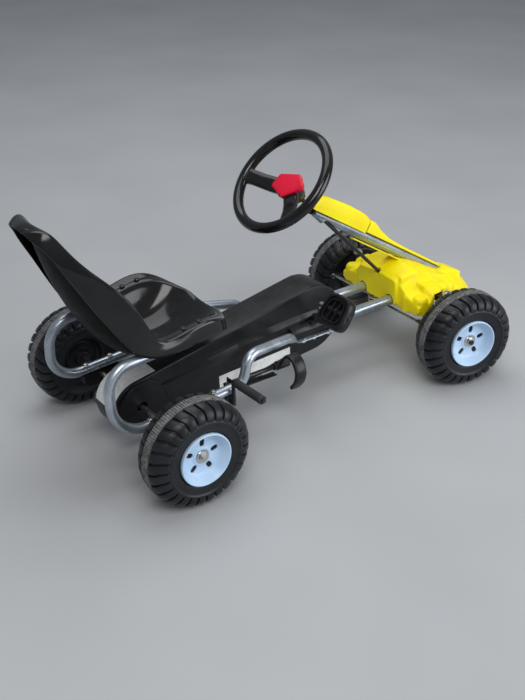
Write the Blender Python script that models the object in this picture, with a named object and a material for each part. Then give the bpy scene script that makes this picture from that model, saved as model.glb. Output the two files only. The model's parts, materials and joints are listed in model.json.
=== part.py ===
"""Pedal go kart for a child: steel tube frame, chain drive, steered front wheels.

Metres, +Z up, +X towards the nose, +Y towards the rider's left.
Every piece is drawn in the kart's own frame, whose origin is on the floor below the rear axle.
The root empty then carries the whole kart, so that the world origin is below its middle.
"""
import math

import bmesh
import bpy
from mathutils import Matrix, Vector

# ---- driving dimensions ------------------------------------------------------------------
MIDDLE_X = 0.3945          # from the rear axle forward to the middle of the kart's length
GAP = 0.0003               # gap between pieces that touch

WHEEL_R = 0.1155           # 9 inch wheels
TYRE_HALF = 0.0460
TYRE_SIDES = 36
HUB_R = 0.0576
WHEELBASE = 0.7721
REAR_TRACK_Y = 0.2469      # centre plane of a rear wheel
KINGPIN_Y = 0.1617
STUB_OUT = 0.0595          # from the kingpin out to a front wheel's centre plane
STUB_AHEAD = 0.0126        # a front wheel's axle is this far ahead of its kingpin
AXLE_R = 0.0060

STEER_AT_REST = math.radians(14.5)   # the steering wheel is turned a little to the right
STEER_RATIO = 0.86                   # knuckle turn for each steering wheel turn
STEER_CENTRE = Vector((0.4014, 0.0, 0.5165))
STEER_TILT = math.radians(45.3)      # column angle from the vertical
RIM_R = 0.1164
RIM_TUBE_R = 0.0120
COLUMN_R = 0.0050
PITMAN_X = 0.7020                    # where the column's cranked end points straight down
TIE_Z = 0.1443                       # level of the tie rods

RAIL_Y = 0.0480
RAIL_Z = 0.1659
RAIL_R = 0.0125
RAIL_BACK_X = 0.3950
RAIL_FRONT_X = 0.8500

SIDE_R = 0.0110            # the bent side tubes
SIDE_Y = 0.1395
LEG_Z = 0.1355             # side tube's lower leg above the axle
LEG_SLOPE = 0.068
UPPER_Y = 0.1250           # the loop leans in to the upper leg under the seat
LOOP_TOP_Z = 0.2770
LOOP_BACK_X = -0.1165
LOOP_R = 0.0700

HEAD = Vector((0.5033, 0.0, 0.4157))     # where the column passes through its top bush
TUBE_SLOPE = -0.6138                     # the support tube falls towards the nose
TUBE_R = 0.0125
TUBE_FRONT_X = 0.9000

CRANK_X = 0.4620
CRANK_Z = 0.1865
CRANK_THROW = 0.0610
CRANK_ANGLE = math.radians(107.0)        # right arm, measured from +X up
PEDAL_Y = 0.1460
FRONT_SPROCKET_R = 0.0520
REAR_SPROCKET_R = 0.0260
CHAIN_Y = 0.0080                         # the chain runs in this plane, left of the middle

CASE_Y = 0.0460            # half width of the chain case
CASE_BACK_R = 0.0650
CASE_FRONT_R = 0.0830
CASE_FRONT_Z = 0.1800

SEAT_WALL = 0.0040
SIDES = {"left": 1.0, "right": -1.0}


# ---- materials ---------------------------------------------------------------------------
def material(name, colour, roughness, metallic=0.0):
    made = bpy.data.materials.new(name)
    made.use_nodes = True
    shader = made.node_tree.nodes["Principled BSDF"]
    shader.inputs["Base Color"].default_value = (*colour, 1.0)
    shader.inputs["Roughness"].default_value = roughness
    shader.inputs["Metallic"].default_value = metallic
    return made


def make_materials():
    return {
        "silver": material("silver_paint", (0.55, 0.58, 0.62), 0.35, 0.7),
        "black_steel": material("black_paint", (0.02, 0.02, 0.022), 0.4, 0.2),
        "steel": material("zinc_steel", (0.62, 0.62, 0.6), 0.3, 1.0),
        "yellow": material("yellow_plastic", (0.9, 0.78, 0.0), 0.4),
        "gloss_black": material("gloss_black_plastic", (0.012, 0.012, 0.013), 0.15),
        "satin_black": material("satin_black_plastic", (0.02, 0.02, 0.022), 0.45),
        "tyre": material("tyre_plastic", (0.022, 0.023, 0.026), 0.6),
        "tread": material("tread_rubber", (0.09, 0.09, 0.09), 0.85),
        "hub": material("hub_plastic", (0.75, 0.83, 0.92), 0.35),
        "red": material("red_plastic", (0.75, 0.02, 0.04), 0.35),
        "grip": material("grip_rubber", (0.03, 0.03, 0.03), 0.8),
        "grey": material("grey_plastic", (0.25, 0.25, 0.26), 0.5),
    }


# ---- scene helpers -----------------------------------------------------------------------
def clear_scene():
    for old in list(bpy.data.objects):
        bpy.data.objects.remove(old)


def empty(name, place, parent=None):
    """An empty whose place is given in the kart's frame."""
    made = bpy.data.objects.new(name, None)
    bpy.context.collection.objects.link(made)
    made.location = place
    made["home"] = tuple(place)
    if parent:
        made.parent = parent
        made.location = Vector(place) - Vector(parent["home"])
    return made


def hang(piece, pivot):
    """Parent a piece drawn in the kart's frame to a pivot empty."""
    piece.parent = pivot
    piece.location = -Vector(pivot["home"])


def to_object(name, bm, paint, pivot, smooth=35.0):
    bmesh.ops.recalc_face_normals(bm, faces=bm.faces)
    mesh = bpy.data.meshes.new(name)
    bm.to_mesh(mesh)
    bm.free()
    mesh.materials.append(paint)
    if smooth:
        mesh.shade_smooth()
        mesh.set_sharp_from_angle(angle=math.radians(smooth))
    piece = bpy.data.objects.new(name, mesh)
    bpy.context.collection.objects.link(piece)
    if pivot:
        hang(piece, pivot)
    return piece


def modify(piece, kind, **settings):
    made = piece.modifiers.new(kind.lower(), kind)
    for key, value in settings.items():
        setattr(made, key, value)
    return made


def cutter_object(name, bm, pivot):
    bmesh.ops.recalc_face_normals(bm, faces=bm.faces)
    mesh = bpy.data.meshes.new(name)
    bm.to_mesh(mesh)
    bm.free()
    tool = bpy.data.objects.new(name, mesh)
    bpy.context.collection.objects.link(tool)
    tool.hide_render = True
    tool.display_type = "WIRE"
    hang(tool, pivot)
    return tool


def combine(piece, tool, operation):
    modify(piece, "BOOLEAN", object=tool, operation=operation, solver="EXACT")


# ---- shape helpers -----------------------------------------------------------------------
def add_loft(bm, rings, closed_ends=True):
    """Skin a list of closed rings that all have the same number of points."""
    rows = [[bm.verts.new(point) for point in ring] for ring in rings]
    count = len(rows[0])
    for low, high in zip(rows, rows[1:]):
        for i in range(count):
            j = (i + 1) % count
            bm.faces.new((low[i], low[j], high[j], high[i]))
    if closed_ends:
        bm.faces.new(list(reversed(rows[0])))
        bm.faces.new(rows[-1])
    return rows


def axes_for(direction):
    along = Vector(direction).normalized()
    helper = Vector((0, 1, 0)) if abs(along.y) < 0.9 else Vector((1, 0, 0))
    first = helper.cross(along).normalized()
    return along, first, along.cross(first)


def add_rod(bm, start, end, radius, sides=20, end_radius=None):
    """A round bar from start to end, a cone where end_radius is given."""
    along, first, second = axes_for(Vector(end) - Vector(start))
    rings = []
    for place, r in ((Vector(start), radius), (Vector(end), end_radius or radius)):
        turn = [2 * math.pi * i / sides for i in range(sides)]
        rings.append([place + r * (math.cos(a) * first + math.sin(a) * second) for a in turn])
    add_loft(bm, rings)


def add_turned(bm, centre, direction, profile, sides=40):
    """Turn a closed outline of (along, radius) points round an axis through centre.

    Where the outline starts and ends at radius 0 the solid is filled, otherwise it is a ring.
    """
    along, first, second = axes_for(direction)
    solid = profile[0][1] == 0 and profile[-1][1] == 0
    outline = profile[1:-1] if solid else profile
    rings = []
    for i in range(sides):
        a = 2 * math.pi * (i + 0.5) / sides
        out = math.cos(a) * first + math.sin(a) * second
        rings.append([Vector(centre) + s * along + r * out for s, r in outline])
    rows = [[bm.verts.new(point) for point in ring] for ring in rings]
    count = len(outline)
    steps = count - 1 if solid else count
    for k in range(sides):
        here, there = rows[k], rows[(k + 1) % sides]
        for i in range(steps):
            j = (i + 1) % count
            bm.faces.new((here[i], here[j], there[j], there[i]))
    if solid:
        for index in (0, -1):
            pole = bm.verts.new(Vector(centre) + profile[index][0] * along)
            for k in range(sides):
                bm.faces.new((pole, rows[k][index], rows[(k + 1) % sides][index]))


def add_prism(bm, outline, y_low, y_high):
    """Extrude an (x, z) outline along Y."""
    rings = [[Vector((x, y, z)) for x, z in outline] for y in (y_low, y_high)]
    add_loft(bm, rings)


def add_box(bm, low, high):
    x0, y0, z0 = low
    x1, y1, z1 = high
    add_prism(bm, [(x0, z0), (x1, z0), (x1, z1), (x0, z1)], y0, y1)


def arc(cx, cz, radius, start, end, steps):
    """Points on an arc in the XZ plane, angles in degrees from +X towards +Z."""
    points = []
    for i in range(steps + 1):
        a = math.radians(start + (end - start) * i / steps)
        points.append((cx + radius * math.cos(a), cz + radius * math.sin(a)))
    return points


def rounded_path(points, radius, steps=6):
    """A polyline's points with each inner corner turned into an arc."""
    path = [Vector(points[0])]
    for before, corner, after in zip(points, points[1:], points[2:]):
        corner = Vector(corner)
        back = (Vector(before) - corner).normalized()
        ahead = (Vector(after) - corner).normalized()
        half = back.angle(ahead) / 2
        cut = radius / math.tan(half)
        centre = corner + (back + ahead).normalized() * radius / math.sin(half)
        first = corner + back * cut - centre
        last = corner + ahead * cut - centre
        normal = first.cross(last).normalized()
        sweep = first.angle(last)
        for i in range(steps + 1):
            path.append(centre + Matrix.Rotation(sweep * i / steps, 3, normal) @ first)
    path.append(Vector(points[-1]))
    return path


def add_tube(bm, path, radius, sides=16, squeeze=None):
    """Sweep a circle along a path without twist; squeeze(t) gives (width, height) factors."""
    count = len(path)
    lengths = [0.0]
    for here, there in zip(path, path[1:]):
        lengths.append(lengths[-1] + (there - here).length)
    start = (path[1] - path[0]).normalized()
    side = Vector((0, 1, 0)) if abs(start.y) < 0.9 else Vector((1, 0, 0))
    rings = []
    for i, place in enumerate(path):
        ahead = (path[min(i + 1, count - 1)] - path[max(i - 1, 0)]).normalized()
        side = (side - side.dot(ahead) * ahead).normalized()
        up = side.cross(ahead)
        wide, high = squeeze(lengths[i] / lengths[-1]) if squeeze else (1.0, 1.0)
        ring = []
        for k in range(sides):
            a = 2 * math.pi * (k + 0.5) / sides
            ring.append(place + radius * (wide * math.cos(a) * side + high * math.sin(a) * up))
        rings.append(ring)
    add_loft(bm, rings)


def simple(name, paint, pivot, build, smooth=35.0):
    """Make one object from a function that fills a bmesh."""
    bm = bmesh.new()
    build(bm)
    return to_object(name, bm, paint, pivot, smooth)


def cut_rod(piece, name, pivot, start, end, radius, sides=20):
    bm = bmesh.new()
    add_rod(bm, start, end, radius, sides)
    combine(piece, cutter_object(name, bm, pivot), "DIFFERENCE")


def cut_box(piece, name, pivot, low, high):
    bm = bmesh.new()
    add_box(bm, low, high)
    combine(piece, cutter_object(name, bm, pivot), "DIFFERENCE")


# ---- reference lines of the design -------------------------------------------------------
def leg_z(x):
    return LEG_Z + LEG_SLOPE * x


def column_dir():
    return Vector((math.sin(STEER_TILT), 0.0, -math.cos(STEER_TILT)))


def tube_z(x):
    return HEAD.z + TUBE_SLOPE * (x - HEAD.x)


def tube_dir():
    return Vector((1.0, 0.0, TUBE_SLOPE)).normalized()


def pitman_top():
    reach = (PITMAN_X - STEER_CENTRE.x) / column_dir().x
    return STEER_CENTRE + reach * column_dir()


# ---- frame -------------------------------------------------------------------------------
def main_rails(paint, root):
    for side, s in SIDES.items():
        def build(bm, s=s):
            add_rod(bm, (RAIL_BACK_X, s * RAIL_Y, RAIL_Z), (RAIL_FRONT_X, s * RAIL_Y, RAIL_Z), RAIL_R)
        simple(side + "_main_rail", paint, root, build)


def side_tube_path(s):
    """From the flattened front lug back, down, along the axle, round and up under the seat."""
    lug_z = RAIL_Z - RAIL_R - 0.0030
    front = rounded_path([
        (0.5300, s * 0.0610, lug_z), (0.3960, s * 0.0625, lug_z), (0.3450, s * 0.1060, 0.1960),
        (0.2080, s * SIDE_Y, 0.2130), (0.1950, s * SIDE_Y, leg_z(0.195)),
        (0.0600, s * SIDE_Y, leg_z(0.060))], 0.0300, 4)
    back = rounded_path([
        (0.0600, s * SIDE_Y, leg_z(0.060)), (LOOP_BACK_X, s * SIDE_Y, leg_z(LOOP_BACK_X)),
        (LOOP_BACK_X, s * UPPER_Y, LOOP_TOP_Z - 0.0020), (-0.0100, s * UPPER_Y, LOOP_TOP_Z + 0.0040)], LOOP_R, 5)
    lug = [Vector((0.0100, s * UPPER_Y, 0.2820)), Vector((0.0450, s * UPPER_Y, 0.2860)),
           Vector((0.0800, s * UPPER_Y, 0.2960)), Vector((0.1150, s * UPPER_Y, 0.3005))]
    return front[:-1] + back + lug


def side_tubes(paint, root):
    def flat_ends(t):
        front = min(max((t - 0.145) / 0.05, 0.0), 1.0)
        back = min(max((0.925 - t) / 0.05, 0.0), 1.0)
        open_up = min(front, back)
        return 1.30 - 0.30 * open_up, 0.24 + 0.76 * open_up
    for side, s in SIDES.items():
        def build(bm, s=s):
            add_tube(bm, side_tube_path(s), SIDE_R, 12, flat_ends)
        simple(side + "_side_tube", paint, root, build)


def front_beam(paint, root):
    """Cross beam under the nose, with a sleeve for the kingpin at each end."""
    def build(bm):
        add_box(bm, (WHEELBASE - 0.013, -KINGPIN_Y, 0.1790), (WHEELBASE + 0.013, KINGPIN_Y, 0.1930))
    beam = simple("front_axle_beam", paint, root, build, 0)
    for side, s in SIDES.items():
        bm = bmesh.new()
        add_rod(bm, (WHEELBASE, s * KINGPIN_Y, 0.1480), (WHEELBASE, s * KINGPIN_Y, 0.1960), 0.0125, 20)
        combine(beam, cutter_object(side + "_sleeve_tool", bm, root), "UNION")
    for side, s in SIDES.items():
        start = (WHEELBASE, s * KINGPIN_Y, 0.1400)
        end = (WHEELBASE, s * KINGPIN_Y, 0.2100)
        cut_rod(beam, side + "_kingpin_bore_tool", root, start, end, 0.0053)


def column_tube(paint, root):
    """Support tube from the nose up to the steering head, flattened round the head bush."""
    back = HEAD - 0.0200 * tube_dir()
    flat_to = HEAD + 0.0300 * tube_dir()
    round_from = HEAD + 0.0750 * tube_dir()
    front = Vector((TUBE_FRONT_X, 0.0, tube_z(TUBE_FRONT_X)))
    path = [back, HEAD, flat_to, round_from, HEAD + 0.2 * tube_dir(), front]

    def flat_head(t):
        whole = (front - back).length
        open_up = min(max((t * whole - 0.05) / 0.045, 0.0), 1.0)
        return 1.3 - 0.3 * open_up, 0.5 + 0.5 * open_up

    def build(bm):
        add_tube(bm, path, TUBE_R, 20, flat_head)
    tube = simple("column_support_tube", paint, root, build)
    sleeve = bmesh.new()
    half = 0.0210 * column_dir()
    add_rod(sleeve, HEAD - half, HEAD + half, 0.0115, 24)
    combine(tube, cutter_object("head_sleeve_tool", sleeve, root), "UNION")
    cut_rod(tube, "head_bore_tool", root, HEAD - 2 * half, HEAD + 4.5 * half, 0.0085 + GAP, 24)


def head_bush(paint, root):
    """Flanged bush that guides the steering column in the top of the support tube."""
    bore = COLUMN_R + 0.0001
    half = 0.0210
    profile = [(-half - 0.0030, bore), (-half - 0.0030, 0.0130), (-half - GAP, 0.0130), (-half - GAP, 0.0085),
               (half, 0.0085), (half, bore)]

    def build(bm):
        add_turned(bm, HEAD, column_dir(), profile, 20)
    simple("column_head_bush", paint, root, build)


def crank_hanger(paints, root):
    """Cross strap between the back ends of the rails, and a bearing block on top of each rail."""
    simple("rear_rail_bridge", paints["black_steel"], root,
           lambda bm: add_box(bm, (0.3970, -RAIL_Y + 0.0128, 0.1590), (0.4090, RAIL_Y - 0.0128, 0.1730)), 0)
    base = RAIL_Z + RAIL_R + GAP
    for side, s in SIDES.items():
        def build(bm, s=s):
            outline = [(CRANK_X - 0.020, base), (CRANK_X + 0.020, base), (CRANK_X + 0.020, base + 0.0040)]
            outline += arc(CRANK_X, CRANK_Z, 0.0125, 0, 180, 8) + [(CRANK_X - 0.020, base + 0.0040)]
            y_in, y_out = CASE_Y + 0.0010, CASE_Y + 0.0150
            add_prism(bm, outline, min(s * y_in, s * y_out), max(s * y_in, s * y_out))
        block = simple(side + "_crank_bearing", paints["satin_black"], root, build, 0)
        start = (CRANK_X, s * 0.03, CRANK_Z)
        end = (CRANK_X, s * 0.08, CRANK_Z)
        cut_rod(block, side + "_crank_bore_tool", root, start, end, 0.0061)


def axle_bearings(paint, root):
    """Plain bearing blocks bolted up under the lower legs of the side tubes."""
    low, half_x, half_y = 0.0950, 0.0440, 0.0120
    top = leg_z(-half_x) - SIDE_R - 0.0006
    for side, s in SIDES.items():
        def build(bm, s=s):
            rise = LEG_SLOPE * 2 * half_x
            outline = [(-half_x, low + 0.008), (-half_x + 0.010, low), (half_x - 0.010, low),
                       (half_x, low + 0.008), (half_x, top + rise), (-half_x, top)]
            add_prism(bm, outline, s * SIDE_Y - half_y, s * SIDE_Y + half_y)
        block = simple(side + "_axle_bearing", paint, root, build, 0)
        start = (0, s * SIDE_Y - 0.03, WHEEL_R)
        end = (0, s * SIDE_Y + 0.03, WHEEL_R)
        cut_rod(block, side + "_axle_bore_tool", root, start, end, AXLE_R + 0.0001, 24)


# ---- wheels ------------------------------------------------------------------------------
def wheel_profile(bore):
    """Blow-moulded wheel section, (along the axle, radius); the outer side is positive."""
    h, r = TYRE_HALF, WHEEL_R - 0.0030
    outer = [(0.012, r), (0.030, r - 0.0035), (0.0390, r - 0.0095), (0.0445, r - 0.0190), (h, r - 0.0330),
             (0.0430, HUB_R + 0.0030), (0.0392, 0.0588), (0.0362, 0.0562), (0.0232, 0.0412), (0.0232, bore)]
    inner = [(-0.0350, bore), (-0.0350, 0.0170), (-0.0180, 0.0210), (-0.0180, 0.0400),
             (-0.0380, 0.0450), (-0.0440, 0.0620), (-h, r - 0.0330), (-0.0440, r - 0.0200),
             (-0.0380, r - 0.0105), (-0.029, r - 0.0040), (-0.012, r)]
    return outer + inner


def band_profile():
    inner = WHEEL_R - 0.0030 + GAP
    outer = WHEEL_R / math.cos(math.pi / TYRE_SIDES)
    return [(-0.0110, inner), (0.0110, inner), (0.0110, outer), (-0.0110, outer)]


def disc_profile():
    """Dished hub disc on the wheel's outer side, (along the axle, radius)."""
    return [(0.0240, 0.0075), (0.0240, 0.0405), (0.0370, 0.0555), (0.0400, 0.0576), (0.0468, 0.0573),
            (0.0474, 0.0545), (0.0330, 0.0435), (0.0268, 0.0370), (0.0268, 0.0190), (0.0288, 0.0175),
            (0.0288, 0.0075)]


def wheel(name, paints, pivot, centre, s):
    """One wheel whose outer side faces s along Y; pivot is on its axle."""
    bore = AXLE_R + 0.0001
    simple(name + "_wheel", paints["tyre"], pivot,
           lambda bm: add_turned(bm, centre, (0, s, 0), wheel_profile(bore), TYRE_SIDES))
    simple(name + "_tread_band", paints["tread"], pivot,
           lambda bm: add_turned(bm, centre, (0, s, 0), band_profile(), TYRE_SIDES))
    disc = simple(name + "_hub_disc", paints["hub"], pivot,
                  lambda bm: add_turned(bm, centre, (0, s, 0), disc_profile(), 24))
    centre = Vector(centre)
    for k in range(5):
        a = 2 * math.pi * (k + 0.3) / 5
        mid = centre + 0.0300 * Vector((math.cos(a), 0, math.sin(a)))
        bm = bmesh.new()
        along, radial = Vector((0, s, 0)), Vector((math.cos(a), 0, math.sin(a)))
        across = along.cross(radial)
        ring = []
        for q in range(6):
            b = 2 * math.pi * q / 6
            ring.append(mid + 0.0038 * math.cos(b) * across + 0.0085 * math.sin(b) * radial)
        add_loft(bm, [[p + 0.0180 * along for p in ring], [p + 0.0550 * along for p in ring]])
        combine(disc, cutter_object(f"{name}_vent_tool_{k}", bm, pivot), "DIFFERENCE")


def cap_nut(name, paint, pivot, centre, s, start):
    """Hexagon nut with a washer face at the end of an axle."""
    def build(bm):
        along = Vector((0, s, 0))
        place = Vector(centre) + start * along
        rings = []
        for out, r in ((0.0, 0.0100), (0.0060, 0.0100), (0.0072, 0.0088)):
            turn = [2 * math.pi * i / 6 for i in range(6)]
            rings.append([place + out * along + r * Vector((math.cos(a), 0, math.sin(a))) for a in turn])
        add_loft(bm, rings)
    return simple(name, paint, pivot, build, 0)


def threaded_nut(name, paint, pivot, centre, s, start, bore):
    nut = cap_nut(name, paint, pivot, centre, s, start)
    along = Vector((0, s, 0))
    place = Vector(centre) + start * along
    cut_rod(nut, name + "_bore_tool", pivot, place - 0.01 * along, place + 0.02 * along, bore, 16)


def rear_wheels(paints, root):
    """The left wheel is driven by the axle; the right one runs free on it."""
    centre = Vector((0, 0, WHEEL_R))
    axle = empty("rear_axle_axis", centre, root)
    free = empty("right_rear_wheel_axis", centre, axle)
    reach = REAR_TRACK_Y + 0.0390
    simple("rear_axle", paints["steel"], axle,
           lambda bm: add_rod(bm, (0, -reach, WHEEL_R), (0, reach, WHEEL_R), AXLE_R, 20))
    wheel("rear_left", paints, axle, (0, REAR_TRACK_Y, WHEEL_R), 1.0)
    wheel("rear_right", paints, free, (0, -REAR_TRACK_Y, WHEEL_R), -1.0)
    for side, s in SIDES.items():
        threaded_nut("rear_" + side + "_axle_nut", paints["steel"], axle,
                     (0, s * REAR_TRACK_Y, WHEEL_R), s, 0.0292, AXLE_R + GAP)
    place = (0, CHAIN_Y, WHEEL_R)
    sprocket("rear_sprocket", paints["steel"], axle, place, REAR_SPROCKET_R, 12, 0.0160, AXLE_R + 0.0001)
    return axle


def sprocket(name, paint, pivot, centre, radius, teeth, hub_r, bore):
    """Toothed disc with a raised hub, cut by its axle's bore."""
    tip, root_r, half = radius - 0.0035, radius - 0.0065, 0.0015

    def build(bm):
        outline = []
        for k in range(teeth):
            for part, r in ((0.0, root_r), (0.25, root_r), (0.45, tip), (0.75, tip)):
                a = 2 * math.pi * (k + part) / teeth
                outline.append((centre[0] + r * math.cos(a), centre[2] + r * math.sin(a)))
        add_prism(bm, outline, centre[1] - half, centre[1] + half)
    disc = simple(name, paint, pivot, build, 0)
    bm = bmesh.new()
    add_rod(bm, (centre[0], centre[1] - 0.006, centre[2]), (centre[0], centre[1] + 0.006, centre[2]), hub_r, 12)
    combine(disc, cutter_object(name + "_boss_tool", bm, pivot), "UNION")
    cut_rod(disc, name + "_bore_tool", pivot, (centre[0], centre[1] - 0.02, centre[2]),
            (centre[0], centre[1] + 0.02, centre[2]), bore, 20)


# ---- crank, chain and pedals -------------------------------------------------------------
def crank_point(s):
    angle = CRANK_ANGLE if s < 0 else CRANK_ANGLE + math.pi
    return CRANK_X + CRANK_THROW * math.cos(angle), CRANK_Z + CRANK_THROW * math.sin(angle)


def crank_set(paints, root):
    centre = Vector((CRANK_X, 0, CRANK_Z))
    axis = empty("crank_axis", centre, root)
    right_x, right_z = crank_point(-1.0)
    left_x, left_z = crank_point(1.0)
    arm_y, end_y = 0.0850, PEDAL_Y + 0.0430
    path = rounded_path([
        (right_x, -end_y, right_z), (right_x, -arm_y, right_z), (CRANK_X, -arm_y, CRANK_Z),
        (CRANK_X, arm_y, CRANK_Z), (left_x, arm_y, left_z), (left_x, end_y, left_z)], 0.0110, 4)
    simple("crank", paints["steel"], axis, lambda bm: add_tube(bm, path, 0.0060, 14))
    place = (CRANK_X, CHAIN_Y, CRANK_Z)
    sprocket("front_sprocket", paints["steel"], axis, place, FRONT_SPROCKET_R, 18, 0.0160, 0.0063)
    for side, s in SIDES.items():
        x, z = crank_point(s)
        pivot = empty(side + "_pedal_axis", (x, 0, z), axis)
        pedal(side + "_pedal", paints["satin_black"], pivot, x, z, s)


def pedal(name, paint, pivot, x, z, s):
    """Thick plastic block with a rounded tread that faces the rider."""
    half_long, half_wide, half_thick = 0.0390, 0.0410, 0.0135
    tilt = math.radians(-52.0)

    def build(bm):
        rings = []
        for out, shrink in ((-1.0, 0.90), (-0.72, 1.0), (0.72, 1.0), (1.0, 0.90)):
            ring = []
            for k in range(32):
                a = 2 * math.pi * k / 32
                c, q = math.cos(a), math.sin(a)
                fat = (abs(c) ** 4 + abs(q) ** 4) ** -0.25
                taper = 1.0 - 0.10 * q * fat
                ring.append(Vector((half_long * shrink * fat * q, half_wide * shrink * taper * fat * c,
                                    half_thick * out)))
            rings.append(ring)
        add_loft(bm, rings)
        bmesh.ops.rotate(bm, verts=bm.verts, matrix=Matrix.Rotation(tilt, 3, "Y"))
        bmesh.ops.translate(bm, verts=bm.verts, vec=(x, s * PEDAL_Y, z))
    block = simple(name, paint, pivot, build)
    start = (x, s * (PEDAL_Y - 0.06), z)
    end = (x, s * (PEDAL_Y + 0.06), z)
    cut_rod(block, name + "_bore_tool", pivot, start, end, 0.0061, 20)


def chain(paint, root):
    """The chain as one closed band round both sprockets."""
    half_y, half_t = 0.0030, 0.0030
    big, small = FRONT_SPROCKET_R, REAR_SPROCKET_R
    outer = belt(0.0, WHEEL_R, small + half_t, CRANK_X, CRANK_Z, big + half_t, 18)
    inner = belt(0.0, WHEEL_R, small - half_t, CRANK_X, CRANK_Z, big - half_t, 18)
    bm = bmesh.new()
    count = len(outer)
    rows = []
    for (x0, z0), (x1, z1) in zip(outer, inner):
        corners = [(x0, -half_y, z0), (x0, half_y, z0), (x1, half_y, z1), (x1, -half_y, z1)]
        rows.append([bm.verts.new((x, y + CHAIN_Y, z)) for x, y, z in corners])
    for i in range(count):
        here, there = rows[i], rows[(i + 1) % count]
        for k in range(4):
            j = (k + 1) % 4
            bm.faces.new((here[k], here[j], there[j], there[k]))
    to_object("drive_chain", bm, paint, root, 0)


def belt(ax, az, ra, bx, bz, rb, steps):
    """Outline of a belt round a back circle (a) and a front circle (b), in the XZ plane."""
    line = math.atan2(bz - az, bx - ax)
    span = math.hypot(bx - ax, bz - az)
    lean = math.asin((rb - ra) / span)
    top = math.degrees(line + math.pi / 2 + lean)
    bottom = math.degrees(line - math.pi / 2 - lean)
    front = arc(bx, bz, rb, bottom, top, steps)
    back = arc(ax, az, ra, top, bottom + 360.0, steps)
    return front + back


# ---- chain case --------------------------------------------------------------------------
def case_outline(grow, steps=14):
    return belt(0.0, WHEEL_R - 0.004, CASE_BACK_R + grow, CRANK_X, CASE_FRONT_Z, CASE_FRONT_R + grow, steps)


def case_half(name, paint, root, upper):
    """One shell of the chain case, open along the split between the two halves."""
    wall = 0.0025

    def shell(grow, half_y, bevel):
        bm = bmesh.new()
        rings = []
        for y, inset in ((-half_y, bevel), (-half_y + bevel, 0.0), (half_y - bevel, 0.0), (half_y, bevel)):
            rings.append([Vector((x, y, z)) for x, z in case_outline(grow - inset)])
        add_loft(bm, rings)
        return bm
    half_y = CASE_Y if upper else CASE_Y - 0.0060
    piece = to_object(name, shell(0.0, half_y, 0.006), paint, root)
    combine(piece, cutter_object(name + "_inside_tool", shell(-wall, half_y - wall, 0.005), root), "DIFFERENCE")
    split_back, split_front = WHEEL_R - 0.0040, 0.1480
    slope = (split_front - split_back) / CRANK_X
    x0, x1 = -0.2, 0.7
    z0, z1 = split_back + slope * x0, split_back + slope * x1
    bm = bmesh.new()
    if upper:
        outline = [(x0, z0), (x0, -0.2), (x1, -0.2), (x1, z1)]
    else:
        outline = [(x0, z0 - GAP * 2), (x1, z1 - GAP * 2), (x1, 0.6), (x0, 0.6)]
    add_prism(bm, outline, -0.2, 0.2)
    combine(piece, cutter_object(name + "_split_tool", bm, root), "DIFFERENCE")
    return piece


def chain_case(paints, root):
    upper = case_half("chain_case_upper", paints["satin_black"], root, True)
    lower = case_half("chain_case_lower", paints["satin_black"], root, False)
    for piece in (upper, lower):
        tag = piece.name
        cut_rod(piece, tag + "_axle_hole_tool", root, (0, -0.2, WHEEL_R), (0, 0.2, WHEEL_R), 0.0130)
        cut_rod(piece, tag + "_crank_hole_tool", root, (CRANK_X, -0.2, CRANK_Z), (CRANK_X, 0.2, CRANK_Z), 0.0150)
        for side, s in SIDES.items():
            y = s * RAIL_Y
            start = (0.30, y, RAIL_Z)
            end = (0.60, y, RAIL_Z)
            cut_rod(piece, f"{tag}_{side}_rail_slot_tool", root, start, end, RAIL_R + 0.0012)
    return upper, lower


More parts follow.
